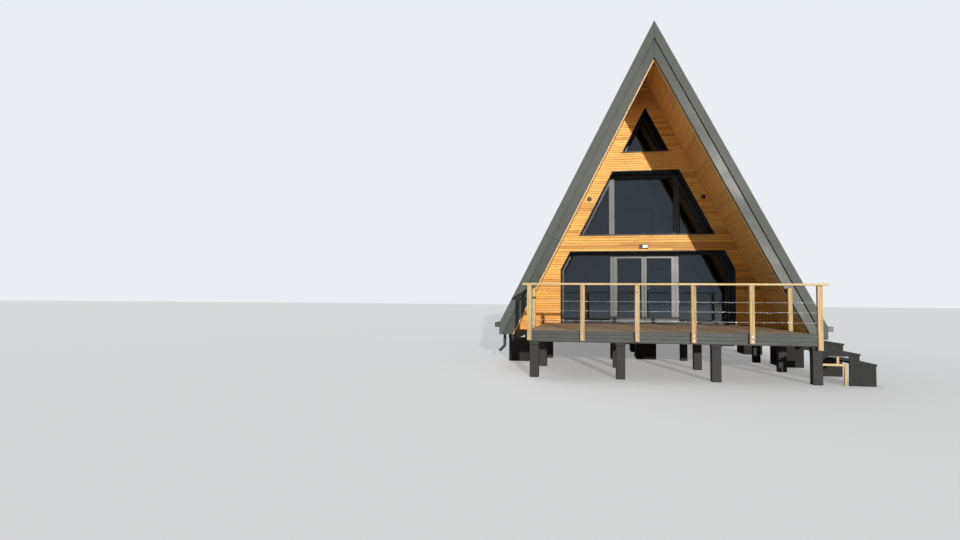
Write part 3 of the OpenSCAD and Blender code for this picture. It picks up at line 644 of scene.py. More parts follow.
# Sections of margins and depths: the bead slopes from the frame to the glass, and the seal lies beside it.
def beadsRound(outline, y, depth):
    width, sealed = bead["width"], bead["width"] + bead["seal"]
    beads, seals = [], []
    for out in (-1, 1):
        glass = y + depth / 2 + out * bead["glass"]
        rim = y + depth / 2 + out * (depth / 2 - bead["inside"])
        beads.append(frameRound(outline, [(0.0, glass), (0.0, rim), (bead["inside"], rim),
                                          (width, glass + out * bead["stand"]), (width, glass)]))
        seals.append(frameRound(outline, [(width, glass), (width, glass + out * bead["sealStand"]),
                                          (sealed, glass + out * bead["sealEdge"]), (sealed, glass)]))
    return beads, seals


# The beads and seals of a group of panes, as two pieces.
def dressPanes(prefix, panes, y, depth, body="cabin"):
    beads, seals = (sum(lists, []) for lists in zip(*(beadsRound(pane, y, depth) for pane in panes)))
    makePiece(prefix + "_beads", beads, windowPaint, body)
    makePiece(prefix + "_seals", seals, rubber, body)


dressPanes("front_window", upperPanes + [gablePane], frameY, frameDepth)
dressPanes("patio", patioPanes, frameY, frameDepth)
dressPanes("back_window", upperPanes + [gablePane] + backPanes, house["backFrameY"], frameDepth)

# Door leaves. The left one is the right one turned over.
leaf = dict(y=-2.460, depth=0.056, inner=0.066, outer=0.784, low=1.186, high=2.940)
for name, sign in (("door_right", 1), ("door_left", -1)):
    x0, x1 = sorted((sign * leaf["inner"], sign * leaf["outer"]))
    dressPanes(name, [squareOutline(x0, x1, leaf["low"], leaf["high"])], leaf["y"], leaf["depth"], name)
rose = dict(x=0.036, z=2.050, lock=0.082, keyHalf=(0.003, 0.001, 0.007), keyY=-0.0075, keyCut=0.0005)
roseProfile = [(0, 0.025), (0.0042, 0.025), (0.007, 0.0215)]
lockZ = rose["z"] - rose["lock"]
roseFaces = [turned([[rose["x"], y, rose["z"]], [rose["x"], y, lockZ]], (0, out, 0), roseProfile, 24)
             for y, out in ((leaf["y"], -1), (leaf["y"] + leaf["depth"], 1))]
keyMiddle, keyHalf = np.array([rose["x"], leaf["y"] + rose["keyY"], lockZ]), np.array(rose["keyHalf"])
makePiece("door_roses", roseFaces, windowPaint, "door_right", smooth=True)
keyway = cutBoxes(keyMiddle - keyHalf, keyMiddle + keyHalf, rose["keyCut"])
makePiece("door_keyway", keyway, rubber, "door_right")
finishNodes(windowPaint, "front_window_frames", "patio_frame", "back_window_frames", "door_left_frame",
            "door_right_frame")
finishNodes(glazing, "front_window_glass", "patio_glass", "back_window_glass", "door_left_glass",
            "door_right_glass")
print("windows and doors dressed")

# Soffits: boards from front to back under each roof side, with a groove between neighbours.
soffit = dict(pitch=0.096, cut=0.005, back=0.004, endGap=0.061)


# Sections of the boards in runs and depths under the roof. The first meets its twin below the ridge.
def soffitSide(side, y0, y1):
    cut, back = soffit["cut"], soffit["back"]
    start = soffitDepth * tanPitch
    end = (apex - house["eaveBottom"] - soffitDepth * cosPitch) / sinPitch
    marks = np.linspace(start, end, round((end - start) / soffit["pitch"]) + 1)
    a, b = marks[:-1, None], marks[1:, None]
    run = np.concatenate([a, a, a + cut, b - cut, b, b], axis=1)
    run[0, :3] -= [lining * tanPitch, back * tanPitch, cut]
    depth = soffitDepth - np.array([lining, back, 0, 0, back, lining])
    return carriedAlong(roofPoint(side, run, depth), y0, y1)


for side, name in ((-1, "soffit_left"), (1, "soffit_right")):
    shapes = [soffitSide(side, frontY + soffit["endGap"], house["facadeY"]),
              soffitSide(side, house["backFaceY"], backY - soffit["endGap"])]
    makePiece(name + "_boards", shapes, litLarchSoffit, stands=name)
print("soffits boarded")

# Roof: flat pans with standing seams running down each side, under a raised ridge cap.
seams = dict(count=27, first=-5.86, last=5.86, top=0.30, footGap=0.010, pan=0.002, hang=0.004, fold=0.012,
             stripGap=0.006)
seamHalf = [(0.016, 0), (0.007, 0.004), (0.005, 0.011), (0.010, 0.013), (0.010, 0.0175), (0.006, 0.0195)]
seamProfile = np.array([(-x, z) for x, z in seamHalf] + seamHalf[::-1])
stripTop = [(0.225, 0.0225), (0.222, 0.0225), (0, 0.0225)]
stripProfile = np.array([(0, 0), (0.120, 0.003), (0.215, 0.010)] + stripTop)
panDepth = house["trimRise"] - seams["pan"]


# Ribs of the seams' profile down the slope, over one pan with a fold at the eave.
def roofSheeting(side):
    y = np.linspace(seams["first"], seams["last"], seams["count"])[:, None] + seamProfile[:, 0]
    ribs = boards(*(atY(roofPoint(side, run, panDepth - seamProfile[:, 1]), y)
                    for run in (seams["top"], eaveRun - seams["footGap"])))
    low, hang = eaveRun + seams["hang"], seams["hang"]
    under, folded = house["trimRise"], panDepth + seams["fold"]
    section = [(panDepth * tanPitch, panDepth), (low, panDepth), (low, folded), (low - hang, folded),
               (low - hang, under), (under * tanPitch, under)]
    return [ribs, carriedAlong(roofPoint(side, *np.transpose(section)), *sheetEnds)]


# Verge strips: a smooth folded sheet that comes down from the trim to the pans.
def vergeStrip(side, edgeY, inward):
    reach, depth = stripProfile.T
    runs = (np.maximum(run, depth * tanPitch) for run in (0.0, eaveRun - seams["stripGap"]))
    return boards(*(atY(roofPoint(side, run, depth), edgeY + inward * reach)[None] for run in runs))


for side, name in ((-1, "roof_left"), (1, "roof_right")):
    strips = [vergeStrip(side, edgeY, inward) for edgeY, inward in zip(sheetEnds, (1, -1))]
    makePiece(name + "_sheeting", roofSheeting(side) + strips, roofSheet)
finishNodes(roofInside, "roof_left", "roof_right")

ridge = dict(top=0.002, sheet=0.003, foot=0.430, hem=0.016, edge=0.004, foldBack=0.001, sheets=5,
             jointHalf=0.0015, screwUp=0.045, screwShift=0.225)


# Section of one wing: a sheet down from the ridge with a hem turned under its foot.
def ridgeWing(side):
    top, foot, edge = ridge["top"], ridge["foot"], ridge["edge"]
    low, hem = top + ridge["sheet"], top + ridge["hem"]
    section = [(top * tanPitch, top), (foot, top), (foot + edge, top + edge), (foot + edge, hem), (foot, hem),
               (foot - ridge["foldBack"], low), (low * tanPitch, low)]
    return roofPoint(side, *np.transpose(section))


capJoints = np.linspace(*sheetEnds, ridge["sheets"] + 1)
capSheets = [carriedAlong(ridgeWing(side), a + ridge["jointHalf"], b - ridge["jointHalf"])
             for side in (-1, 1) for a, b in zip(capJoints[:-1], capJoints[1:])]
makePiece("ridge_cap_sheets", capSheets, roofSheet, stands="ridge_cap")
screwY = np.linspace(seams["first"] + ridge["screwShift"], seams["last"] - ridge["screwShift"],
                     seams["count"] - 1)
screwHead = [(0, 0.007), (0.002, 0.007), (0.0032, 0.004)]
capScrews = [turned(atY(roofPoint(side, ridge["foot"] - ridge["screwUp"], ridge["top"]), screwY),
                    (side * sinPitch, 0, cosPitch), screwHead, 8) for side in (-1, 1)]
makePiece("ridge_cap_screws", capScrews, boltSteel)
print("roof covered")

# Verges: an outer and an inner band of folded sheet on each roof edge, mitred at the ridge, and pale
# battens behind the inner one.
verge = dict(lengths=(0.0, 5.85), joint=0.0015, innerSetback=0.040, beamBack=0.135, apexGap=0.0015,
             groove=(0.050, 0.060), grooveOver=0.002, grooveUnder=0.004, bevel=0.003)
batten = dict(lap=0.045, drop=0.026, thick=0.040)
innerLow = soffitDepth + house["beamDepth"]


# Outline of one length of a band: four corners, or at the foot a level cut and an upright one.
def bandOutline(side, top, low, start, end):
    reach, foot = house["eaveReach"], house["eaveBottom"]
    depths = np.array([low, top])
    heads = np.maximum(start, depths * tanPitch)
    if start == 0.0:
        heads = depths * tanPitch + verge["apexGap"] / cosPitch
    outline = roofPoint(side, heads, depths)
    if end is not None:
        return np.vstack([outline, roofPoint(side, end, depths[::-1])])
    lowRun, topRun = (apex - foot - depths * cosPitch) / sinPitch  # where each line comes down to the foot
    corner = [roofPoint(side, topRun, top)]
    if topRun * cosPitch - top * sinPitch > reach:
        corner = [roofPoint(side, (reach + top * sinPitch) / cosPitch, top), [side * reach, foot]]
    return np.vstack([outline, *corner, roofPoint(side, lowRun, low)])


# A band in its lengths, each of which stops a joint's gap before the next one starts.
def vergeBand(side, top, low, y0, y1):
    ends = [start - verge["joint"] for start in verge["lengths"][1:]] + [None]
    return [carriedAlong(bandOutline(side, top, low, a, b), y0, y1) for a, b in zip(verge["lengths"], ends)]


grooves, battens = [], []
for end, edge, sign in (("front", frontY, 1), ("back", backY, -1)):
    for side, name in ((-1, "left"), (1, "right")):
        node = f"{end}_verge_{name}"
        thick, setback, behind = (edge + sign * step for step in (
            house["trim"], verge["innerSetback"], verge["beamBack"]))
        for band, material, top, low, y0, y1 in (
                ("_outer", trimSheet, 0.0, outerDepth, edge, thick),
                ("_inner", trimSheetInner, soffitDepth, innerLow, setback, behind)):
            shapes = vergeBand(side, top, low, y0, y1)
            makePiece(node + band, shapes, material, stands=node, bevel=verge["bevel"])
        battens += vergeBand(side, innerLow - batten["lap"], innerLow + batten["drop"],
                             *sorted((behind, edge + sign * (verge["beamBack"] + batten["thick"]))))
        # A dark strip in the groove between the bands: painted shade, for the shadow in that groove.
        grooves += vergeBand(side, outerDepth - verge["grooveOver"], soffitDepth + verge["grooveUnder"],
                             *(edge + sign * y for y in verge["groove"]))
makePiece("verge_groove_shade_strips", grooves, darkCoatAndShade)
makePiece("verge_battens", battens, larchPale, bevel=verge["bevel"])
print("verges made")

# Gutters: a folded trough with a rolled front edge, straps across it and joint collars.
gutter = dict(inner=3.780, outer=3.893, low=0.981, back=1.098, front=1.086, lip=0.010, sheet=0.003,
              fold=0.006, foldMore=0.002, bead=0.008, beadOut=0.001, plate=0.003, plateRise=0.004)
jointCollar = dict(count=4, half=0.025, sheet=0.002, fit=0.0005)
strap = dict(count=14, width=0.028, start=0.25, back=0.002, front=0.004, sink=0.001, thick=0.004, cut=0.001)
x0, x1, low, back = (gutter[key] for key in ("inner", "outer", "low", "back"))
lip = gutter["front"] - gutter["lip"]


# Section: down the back, along the foot and up to the lip, round the bead, and back inside the sheet.
def troughSection():
    sheet, fold, innerFold = gutter["sheet"], gutter["fold"], gutter["fold"] + gutter["foldMore"]
    bow = np.linspace(-0.5 * math.pi, 1.2 * math.pi, 9)
    roll = [x1 + gutter["beadOut"], gutter["front"]] + gutter["bead"] * points(np.cos(bow), np.sin(bow))
    outside = [(x0, back), (x0, low + fold), (x0 + fold, low), (x1 - fold, low), (x1, low + fold), (x1, lip)]
    inside = [(x1 - sheet, lip), (x1 - sheet, low + innerFold), (x1 - innerFold, low + sheet),
              (x0 + innerFold, low + sheet), (x0 + sheet, low + innerFold), (x0 + sheet, back)]
    return np.vstack([outside, roll, inside])


gutterShapes = bothSides(carriedAlong(troughSection(), frontY, backY))
plateTop = gutter["front"] + gutter["plateRise"]
endPlate = [(x0, plateTop), (x0, low), (x1, low), (x1, plateTop)]
for ys in ((frontY, frontY + gutter["plate"]), (backY - gutter["plate"], backY)):
    gutterShapes += bothSides(carriedAlong(endPlate, *ys))
collarY = np.linspace(frontY, backY, jointCollar["count"] + 2)[1:-1]
sheet, fit = jointCollar["sheet"], jointCollar["fit"]
collar = [(x0 + fit, back), (x0 + fit, low - sheet), (x1 + sheet, low - sheet), (x1 + sheet, lip),
          (x1, lip), (x1, low + fit), (x0 + sheet + fit, low + fit), (x0 + sheet + fit, back)]
gutterShapes += bothSides(carriedAlong(collar, *(collarY + way * jointCollar["half"] for way in (-1, 1))))
strapY = np.linspace(frontY + strap["start"], backY - strap["start"], strap["count"])
strapLow = points(x0 - strap["back"], strapY - strap["width"] / 2, gutter["front"] - strap["sink"])
strapHigh = strapLow + [x1 - x0 + strap["back"] + strap["front"], strap["width"], strap["thick"]]
gutterShapes += bothSides(cutBoxes(strapLow, strapHigh, strap["cut"]))
makePiece("gutter_troughs", gutterShapes, gutterSheet, stands="gutters")

# Eave boards: a sheet over the cut end of each roof side below the gutter.
eave = dict(inner=3.780, outer=3.784, low=0.802, high=0.979, endGap=0.002, cut=0.001)
eaveLow = [eave["inner"], frontY + eave["endGap"], eave["low"]]
eaveHigh = [eave["outer"], backY - eave["endGap"], eave["high"]]
makePiece("eave_sheets", bothSides(cutBoxes(eaveLow, eaveHigh, eave["cut"])), gutterSheet)

# Downpipes: straight down, round a bend of 45 degrees, and out through an open shoe, with two collars.
downpipe = dict(x=3.8375, y=-4.700, top=0.984, bend=0.430, radius=0.040, shoe=0.200, turn=0.055, wall=0.004,
                sides=24, collarZ=(0.925, 0.530))


# Centre line in X and Z: a straight, an arc that starts upright and turns outwards, and a straight shoe.
def downpipePath():
    start = downpipe["bend"] + downpipe["turn"] * math.tan(math.pi / 8) * 2
    radius = (start - downpipe["bend"]) / math.tan(math.pi / 8)
    angle = np.linspace(0, math.pi / 4, 7)[1:]
    bend = points(radius * (1 - np.cos(angle)), start - radius * np.sin(angle))
    end = np.array([0, downpipe["bend"]]) + downpipe["shoe"] * math.sqrt(0.5) * np.array([1, -1])
    tail = bend[-1] + (end - bend[-1]) * np.array([0.35, 0.7, 1.0])[:, None]
    return np.vstack([points(0.0, np.linspace(downpipe["top"], start, 5)), bend, tail]) + [downpipe["x"], 0]


# Rings square to the centre line, then two smaller ones back up inside the shoe, which leave it open.
def downpipeRun():
    path = atY(downpipePath(), downpipe["y"])
    inside = path[-1] + (path[-2] - path[-1]) * np.array([0.001, 0.9])[:, None]
    radii = np.repeat([downpipe["radius"], downpipe["radius"] - downpipe["wall"]], [len(path), 2])
    ahead = np.gradient(path, axis=0)[[*range(len(path)), -1, -1]]
    ahead /= np.linalg.norm(ahead, axis=1, keepdims=True)
    angle = np.arange(downpipe["sides"]) * 2 * math.pi / downpipe["sides"]
    across = np.cross([0.0, 1.0, 0.0], ahead)[:, None]
    ring = np.cos(angle)[:, None] * across + np.sin(angle)[:, None] * np.array([0.0, 1.0, 0.0])
    return joinRings((np.vstack([path, inside])[:, None] + radii[:, None, None] * ring)[None])


pipeShapes = bothSides(downpipeRun())
collarProfile = [(0, 0.0405), (0.002, 0.0445), (0.048, 0.0445), (0.050, 0.0405)]
for z in downpipe["collarZ"]:
    foot = [downpipe["x"], downpipe["y"], z]
    pipeShapes += bothSides(turned(foot, (0, 0, 1), collarProfile, downpipe["sides"]))
makePiece("downpipe_runs", pipeShapes, gutterSheet, stands="downpipes", smooth=True)
print("gutters hung")

# Wall lamp: a dark housing with a hood over a bright lens.
# Each of its boxes is how far the low and the high corner of the lamp's box move, and the cut of the edges.
lamp = dict(
    low=(-0.160, -3.230, 3.155),
    high=(0.060, -3.140, 3.285),
    body=((0, 0.012, 0.010), (0, 0, -0.012), 0.006),
    hood=((0, 0, 0.114), (0, 0, 0), 0.003),
    leftCheek=((0, 0, 0), (-0.208, 0, -0.014), 0.003),
    rightCheek=((0.208, 0, 0), (0, 0, -0.014), 0.003),
    foot=((0.030, 0.088, 0.020), (-0.030, 0.020, -0.030), 0.002),
    lens=((0.070, 0.006, 0.026), (-0.014, -0.076, -0.020), 0.003),
)


# A box of the lamp: its corners plus their moves.
def lampBox(part):
    low, high, cut = lamp[part]
    return cutBoxes(np.add(lamp["low"], low), np.add(lamp["high"], high), cut)


housing = [lampBox(part) for part in ("body", "hood", "leftCheek", "rightCheek", "foot")]
makePiece("wall_lamp_housing", housing, darkPlastic, stands="wall_lamp")
makePiece("wall_lamp_lens", lampBox("lens"), lampLens)

# Vents: a round rim with slats across it.
vent = dict(x=1.590, z=4.625, radius=0.070, slats=6, slatReach=0.042, slatRadius=0.057)
ventY = house["facadeY"] - cladding["thick"]
rim = [(-0.020, 0.062), (-0.020, vent["radius"]), (0.004, vent["radius"]), (0.014, vent["radius"] - 0.006),
       (0.014, 0.058), (0.002, 0.056), (0.002, 0.010)]
ventShapes = bothSides(turned([vent["x"], ventY, vent["z"]], (0, -1, 0), rim, 32))
height = np.linspace(-vent["slatReach"], vent["slatReach"], vent["slats"])[:, None]
half = np.sqrt(vent["slatRadius"] ** 2 - height ** 2)
slat = np.array([[0.001, -0.004], [0.012, -0.009], [0.013, -0.006], [0.002, 0.0]])
slatY, slatZ = ventY - slat[:, 0], vent["z"] + height + slat[:, 1]
ventShapes += bothSides(boards(*(points(vent["x"] + side * half, slatY, slatZ) for side in (-1, 1))))
makePiece("wall_vent_covers", ventShapes, brownPlastic, stands="wall_vents")
print("wall fittings made")

# Deck: grooved boards across the joists with screws, and a fascia of three boards round them.
deck = dict(left=-2.862, right=2.898, front=-8.160, back=-3.120, fascia=0.025, pitch=0.1445, gap=0.005,
            edgeGap=0.002, backGap=0.024, thick=0.030, cut=0.003, grooves=6, grooveDepth=0.002,
            screwHalf=0.042, screwSink=0.0015, joists=9, joistWidth=0.060, jointHalf=0.001,
            jointJoists=(3, 5))
deckX = (deck["left"] + deck["fascia"] + deck["edgeGap"], deck["right"] - deck["fascia"] - deck["edgeGap"])
rows = round((deck["back"] - deck["front"] - deck["fascia"]) / deck["pitch"])
rowY = np.linspace(deck["front"] + deck["fascia"] + deck["edgeGap"], deck["back"] - deck["backGap"], rows + 1)
boardWidth = rowY[1] - rowY[0] - deck["gap"]


# Section of a deck board: a flat underside, cut edges, and shallow grooves spaced evenly over the top.
def deckSection(width):
    thick, cut = deck["thick"], deck["cut"]
    top, sunk = [(0.0, 0.0), (0.0, thick - cut), (cut, thick)], thick - deck["grooveDepth"]
    for c in np.linspace(0, width, deck["grooves"] + 2)[1:-1]:
        top += [(c - cut, thick), (c - cut / 2, sunk), (c + cut / 2, sunk), (c + cut, thick)]
    return np.array(top + [(width - cut, thick), (width, thick - cut), (width, 0.0)])


section = deckSection(boardWidth)
joistSpan = (deckX[1] - deckX[0] + 2 * deck["edgeGap"] - deck["joistWidth"]) / (deck["joists"] - 1)
joistX = deck["left"] + deck["fascia"] + deck["joistWidth"] / 2 + joistSpan * np.arange(deck["joists"])
jointAt = joistX[np.where(np.arange(rows) % 2 == 0, *deck["jointJoists"])][:, None]


# One part of every row: the section carried from x0 to x1.
def deckRows(*ends):
    y, z = rowY[:-1, None] + section[:, 0], floorZ - deck["thick"] + section[:, 1]
    return boards(*(points(x, y, z) for x in ends))


planks = [deckRows(deckX[0], jointAt - deck["jointHalf"]), deckRows(jointAt + deck["jointHalf"], deckX[1])]
makePiece("deck_planks", planks, deckTimber, stands="deck_boards")
grid = np.meshgrid(joistX, rowY[:-1] + boardWidth / 2, [-deck["screwHalf"], deck["screwHalf"]], indexing="ij")
screwX, rowMiddle, pair = (axis.ravel() for axis in grid)
deckScrews = points(screwX, rowMiddle + pair, floorZ - deck["screwSink"])
deckHeads = turned(deckScrews, (0, 0, 1), [(0, 0.0045), (0.0013, 0.0045)], 6)
makePiece("deck_screws", deckHeads, boltSteel)

fascia = dict(low=0.778, high=1.000, boards=3, groove=0.004, flat=0.001, cut=0.003, sideGap=0.0003,
              backGap=0.022)


# Section of the fascia: boards one above another with a shallow groove between them.
def fasciaSection(thick):
    low, high, cut, groove, flat = (fascia[key] for key in ("low", "high", "cut", "groove", "flat"))
    outline = [(thick, low), (0.0, low)]
    for z in np.linspace(low, high, fascia["boards"] + 1)[1:-1]:
        outline += [(0.0, z - groove), (groove, z - flat), (groove, z + flat), (0.0, z + groove)]
    return np.array(outline + [(0.0, high - cut), (cut, high), (thick, high)])


fasciaShape = fasciaSection(deck["fascia"])
frontFascia = boards(*(atX(fasciaShape + [deck["front"], 0], x)[None] for x in (deck["left"], deck["right"])))
makePiece("deck_front_fascia", frontFascia, fasciaPaint, stands="deck_fascia")
sideEnds = (deck["front"] + deck["fascia"] + fascia["sideGap"], deck["back"] - fascia["backGap"])
sideFascia = [carriedAlong(fasciaShape * [inward, 1] + [x, 0], *sideEnds)
              for x, inward in ((deck["left"], 1), (deck["right"], -1))]
makePiece("deck_side_fascia", sideFascia, fasciaSidePaint, stands="deck_fascia")
finishNodes(joistTimber, "deck_joists")
finishNodes(beamTimber, "deck_beams")

# Piers: square shafts with a head plate.
pier = dict(x=(-2.726, -0.911, 1.002, 2.915), y=(-7.982, -5.6025, -3.223), half=0.095, margin=0.008,
            plate=0.700, top=0.760, cut=0.010, plateCut=0.004)
pierX, pierY = (axis.ravel() for axis in np.meshgrid(pier["x"], pier["y"]))


# A box on every pier's middle, as wide as twice the half width.
def pierBoxes(half, z0, z1, cut):
    return cutBoxes(points(pierX - half, pierY - half, z0), points(pierX + half, pierY + half, z1), cut)


pierShapes = [pierBoxes(pier["half"], 0, pier["plate"], pier["cut"]),
              pierBoxes(pier["half"] + pier["margin"], pier["plate"], pier["top"], pier["plateCut"])]
makePiece("pier_shafts", pierShapes, pierPaint, stands="deck_piers")
print("deck laid")

# Rail: posts with cut edges, bolts through them into the fascia, a cap and twisted cables with end fittings.
rail = dict(half=0.0475, top=1.974, capTop=2.014, foot=0.800, cornerFoot=0.690, frontY=-8.2075,
            frontX=(-2.8145, -1.69575, -0.577, 0.54175, 1.6605), cornerX=2.9455, cornerY=-8.1375,
            rearY=-6.2175, leftX=-2.9095, middleY=-7.18875, heights=(1.230, 1.430, 1.630),
            boltZ=(0.845, 0.945), cornerBoltZ=(0.800, 0.945), cut=0.005)
half, railTop, capTop, frontX, railY = (rail[key] for key in ("half", "top", "capTop", "frontX", "frontY"))
cornerX, cornerY = rail["cornerX"], rail["cornerY"]
leftX, middleY, rearY = rail["leftX"], rail["middleY"], rail["rearY"]
posts = np.array([(x, railY, rail["foot"]) for x in frontX]
                 + [(cornerX, y, rail["cornerFoot"]) for y in (cornerY, rearY)]
                 + [(leftX, y, rail["foot"]) for y in (rearY, middleY)])
postHigh = points(posts[:, 0] + half, posts[:, 1] + half, railTop)
postShapes = cutBoxes(posts - [half, half, 0], postHigh, rail["cut"])
makePiece("rail_post_timbers", postShapes, postTimber, stands="rail_posts")
boltHead = [(0, 0.016), (0.003, 0.016), (0.003, 0.010), (0.008, 0.0095), (0.010, 0.006)]
boltRows = [([(x, railY - half, z) for x in frontX for z in rail["boltZ"]], (0, -1, 0)),
            ([(leftX - half, y, z) for y in (rearY, middleY) for z in rail["boltZ"]], (-1, 0, 0)),
            ([(cornerX + half, y, z) for y in (cornerY, rearY) for z in rail["cornerBoltZ"]], (1, 0, 0))]
railBolts = [turned(places, axis, boltHead, 12) for places, axis in boltRows]
makePiece("rail_bolts", railBolts, boltSteel, smooth=True)

# The cap: two lengths that meet over the third post, and one down the left side.
cap = dict(left=-2.962, right=3.081, front=-8.2825, back=-8.1325, joint=(-0.5785, -0.5755), cut=0.004,
           sideFront=-8.1322, sideBack=-6.170, sideRight=-2.857, screw=0.02, screwSink=0.001)
capLow = [(x, cap["front"], railTop) for x in (cap["left"], cap["joint"][1])]
capHigh = [(x, cap["back"], capTop) for x in (cap["joint"][0], cap["right"])]
capBoards = cutBoxes(capLow, capHigh, cap["cut"])
makePiece("rail_cap_front", capBoards, capTimber, stands="rail_cap")
sideLow, sideHigh = [cap["left"], cap["sideFront"], railTop], [cap["sideRight"], cap["sideBack"], capTop]
capSide = cutBoxes(sideLow, sideHigh, cap["cut"])
makePiece("rail_cap_left", capSide, capTimberSide, stands="rail_cap")
capPosts = [(x, railY) for x in (*frontX, cornerX)] + [(leftX, y) for y in (middleY, rearY)]
screwZ = capTop - cap["screwSink"]
capScrewSpots = [(x + d, y + d, screwZ) for x, y in capPosts for d in (-cap["screw"], cap["screw"])]
capHeads = turned(capScrewSpots, (0, 0, 1), [(0, 0.005), (0.0009, 0.005)], 6)
makePiece("rail_cap_screws", capHeads, boltSteel)

cable = dict(radius=0.004, strands=6, lay=0.07, step=0.014, sides=12, swell=0.14)


# Twisted wire: round the line, the radius swells and falls once for each strand, and the strands turn
# with the distance along the wire.
def wire(start, end):
    length = np.linalg.norm(end - start)
    along = (end - start) / length
    run = np.linspace(0, length, max(2, int(length / cable["step"])))[:, None]
    angle = (np.arange(cable["sides"]) * 2 * math.pi / cable["sides"])[None]
    radius = cable["radius"] * (1 - cable["swell"] + cable["swell"] * np.cos(cable["strands"] * angle))
    ring = around(along, angle + 2 * math.pi * run / cable["lay"])
    return joinRings((start + run[..., None] * along + radius[..., None] * ring)[None])


spans = [((a + half, railY), (b - half, railY)) for a, b in zip(frontX[:-1], frontX[1:])]
spans += [((frontX[-1] + half, railY), (cornerX - half, cornerY)),
          ((frontX[0] - half / 2, deck["front"]), (leftX, middleY - half)),
          ((leftX, middleY + half), (leftX, rearY - half))]
cables, fittings = [], []
fitting = [(0, 0.011), (0.003, 0.011), (0.004, 0.0065), (0.050, 0.0065), (0.056, 0.0045), (0.075, 0.0045)]
for first, last in spans:
    for z in rail["heights"]:
        start, end = np.array([*first, z]), np.array([*last, z])
        cables.append(wire(start, end))
        fittings += [turned(start, end - start, fitting, 12), turned(end, start - end, fitting, 12)]
makePiece("rail_cable_wires", cables, cableSteel, stands="rail_cables", smooth=True)
makePiece("rail_cable_ends", fittings, boltSteel, smooth=True)
print("rail built")

# Stair: planks to a tread on the stringers, and the light frame under the front one.
stair = dict(tops=(0.830, 0.633, 0.436), noses=(3.410, 3.705, 4.000), backs=(2.898, 3.390, 3.685),
             front=-8.050, end=-6.305, thick=0.040, gap=0.006, plank=0.145, cut=0.004)
treads = []
for top, nose, backX in zip(stair["tops"], stair["noses"], stair["backs"]):
    marks = np.linspace(backX, nose, max(2, round((nose - backX) / stair["plank"])) + 1)
    high = points(marks[1:] - stair["gap"], stair["end"], top)
    high[-1, 0] = nose
    treads.append(cutBoxes(points(marks[:-1], stair["front"], top - stair["thick"]), high, stair["cut"]))
makePiece("stair_tread_planks", treads, stairPaintAndShade, stands="stair_treads")
finishNodes(stairPaintAndShade, "stair_stringers")
# The support's post, arm and strut from low to high corners in X and Z, and its bolts.
support = dict(y=(-8.050, -8.005), cut=0.003,
               low=((3.410, 0.0), (3.0103, 0.385), (3.268, 0.430)),
               high=((3.455, 0.430), (3.410, 0.430), (3.313, 0.575)),
               bolts=((3.4325, 0.4075), (3.045, 0.4075), (3.2905, 0.46)))
supportLow, supportHigh = (atY(np.array(support[key]), y) for key, y in zip(("low", "high"), support["y"]))
supports = cutBoxes(supportLow, supportHigh, support["cut"])
makePiece("stair_support_timbers", supports, supportTimber, stands="stair_support")
supportHead = [(0, 0.008), (0.002, 0.008), (0.0035, 0.005)]
supportBolts = turned(atY(np.array(support["bolts"]), support["y"][0]), (0, -1, 0), supportHead, 10)
makePiece("stair_support_bolts", supportBolts, boltSteel)
print("stair built")

# Foundation: dark concrete blocks with cut edges, sill beams and the floors.
block = dict(outer=3.750, width=0.550, half=0.500, rows=(-4.0, 0.0, 4.0), centreRows=(-2.620, 0.0, 4.0),
             high=0.600, cut=0.012)


# Blocks between two X, each a half length before and behind its place in the row.
def blockRow(x0, x1, rows):
    y0, y1 = (np.array(rows) + way * block["half"] for way in (-1, 1))
    return cutBoxes(points(x0, y0, 0), points(x1, y1, block["high"]), block["cut"])


blocks = bothSides(blockRow(block["outer"] - block["width"], block["outer"], block["rows"]))
blocks.append(blockRow(-block["width"] / 2, block["width"] / 2, block["centreRows"]))
makePiece("foundation_concrete", blocks, blockConcrete, stands="foundation_blocks")
finishNodes(darkTimber, "sill_beams")
finishNodes(floorTimber, "ground_floor", "upper_floor")
print("foundation laid")

# Stage: a pale floor, a soft key lamp from the front right and an even sky.
stage = dict(reach=400.0, seen=(0.90, 0.91, 0.93, 1), seenShare=0.3)
floorMaterial, floorTree, _ = newMaterial("pale floor", Roughness=0.9, Base_Color=paint((250, 250, 248)))
floorShader = floorTree.nodes["Principled BSDF"].outputs[0]
seenFloor = addNode(floorTree, "Emission", {"Color": stage["seen"], "Strength": 1.0}).outputs[0]
cameraRay = addNode(floorTree, "LightPath").outputs["Is Camera Ray"]
seenShare = sumOf(floorTree, "MULTIPLY", cameraRay, stage["seenShare"])
floorMix = addNode(floorTree, "MixShader", {0: seenShare, 1: floorShader, 2: seenFloor})
floorTree.links.new(floorMix.outputs[0], floorTree.nodes["Material Output"].inputs[0])
floorMesh = bpy.data.meshes.new("floor")
floorCorners = [(x * stage["reach"], y * stage["reach"], 0) for x, y in ((-1, -1), (1, -1), (1, 1), (-1, 1))]
floorMesh.from_pydata(floorCorners, [], [(0, 1, 2, 3)])
floorMesh.materials.append(floorMaterial)
floor = bpy.data.objects.new("floor", floorMesh)
bpy.context.scene.collection.objects.link(floor)

light = dict(sky=0.25, background=0.92, mirrored=0.46,
             skyColour=(0.93, 0.96, 1.0, 1), backColour=(0.90, 0.93, 0.97, 1))
lamps = dict(
    key=dict(azimuth=13.8, height=8.0, strength=3.1, angle=0.8, colour=(1.0, 0.97, 0.92)),
    fill=dict(azimuth=215.0, height=48.0, strength=0.9, angle=50.0, colour=(0.96, 0.98, 1.0)),
)


# An object in the scene whose own X, Y and Z axes point along three directions.
def placed(name, data, across, above, back, place=(0, 0, 0)):
    made = bpy.data.objects.new(name, data)
    made.matrix_world = Matrix([*np.stack([across, above, back, place], axis=1).tolist(), [0, 0, 0, 1]])
    bpy.context.scene.collection.objects.link(made)
    return made


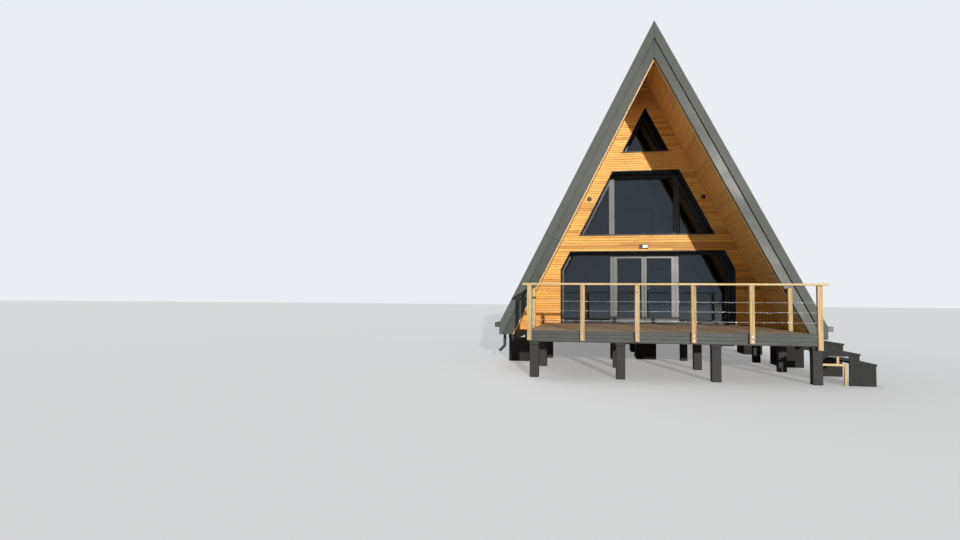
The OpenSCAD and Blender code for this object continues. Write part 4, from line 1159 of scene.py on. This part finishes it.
# A lamp far away: its Z axis points along the direction given by azimuth from the front and height.
def farLamp(name, azimuth, height, strength, angle, colour):
    sun = bpy.data.lights.new(name, "SUN")
    sun.energy, sun.angle, sun.color = strength, math.radians(angle), colour
    turn, lift = math.radians(azimuth), math.radians(height)
    back = np.array([math.sin(turn) * math.cos(lift), -math.cos(turn) * math.cos(lift), math.sin(lift)])
    across = np.cross([0, 0, 1.0], back)
    across /= np.linalg.norm(across)
    placed(name, sun, across, np.cross(back, across), back)


for name, settings in lamps.items():
    farLamp(name, **settings)

world = bpy.data.worlds.new("studio")
bpy.context.scene.world = world
world.use_nodes = True
sky = world.node_tree
sky.nodes.clear()
rays = addNode(sky, "LightPath").outputs
mirrored = sumOf(sky, "MULTIPLY", rays["Is Glossy Ray"], light["mirrored"])
seen = sumOf(sky, "MAXIMUM", rays["Is Camera Ray"], rays["Is Transmission Ray"])
seen = sumOf(sky, "MAXIMUM", seen, mirrored)
plain = addNode(sky, "Background", {"Color": light["skyColour"], "Strength": light["sky"]})
backdrop = addNode(sky, "Background", {"Color": light["backColour"], "Strength": light["background"]})
mixed = addNode(sky, "MixShader", {0: seen, 1: plain.outputs[0], 2: backdrop.outputs[0]})
sky.links.new(mixed.outputs[0], addNode(sky, "OutputWorld").inputs[0])

# Camera: where the photograph was taken, with its turn, lift and small lean.
view = dict(place=(-1.4456, -21.5775, 1.6015), turn=-0.1813, lift=0.0509, lean=0.0078,
            lens=23.458, sensor=36.0, near=0.1, far=1000.0)
cosT, sinT, cosL, sinL = (work(view[key]) for key in ("turn", "lift") for work in (math.cos, math.sin))
forward = np.array([sinT * cosL, cosT * cosL, sinL])
right = np.array([cosT, -sinT, 0.0])
up = np.cross(right, forward)
leanCos, leanSin = math.cos(view["lean"]), math.sin(view["lean"])
camera = bpy.data.cameras.new("camera")
camera.lens, camera.sensor_width = view["lens"], view["sensor"]
camera.clip_start, camera.clip_end = view["near"], view["far"]
leanRight, leanUp = leanCos * right + leanSin * up, leanCos * up - leanSin * right
bpy.context.scene.camera = placed("camera", camera, leanRight, leanUp, -forward, view["place"])
bpy.context.scene.view_settings.view_transform = "Standard"
print("stage and camera set")
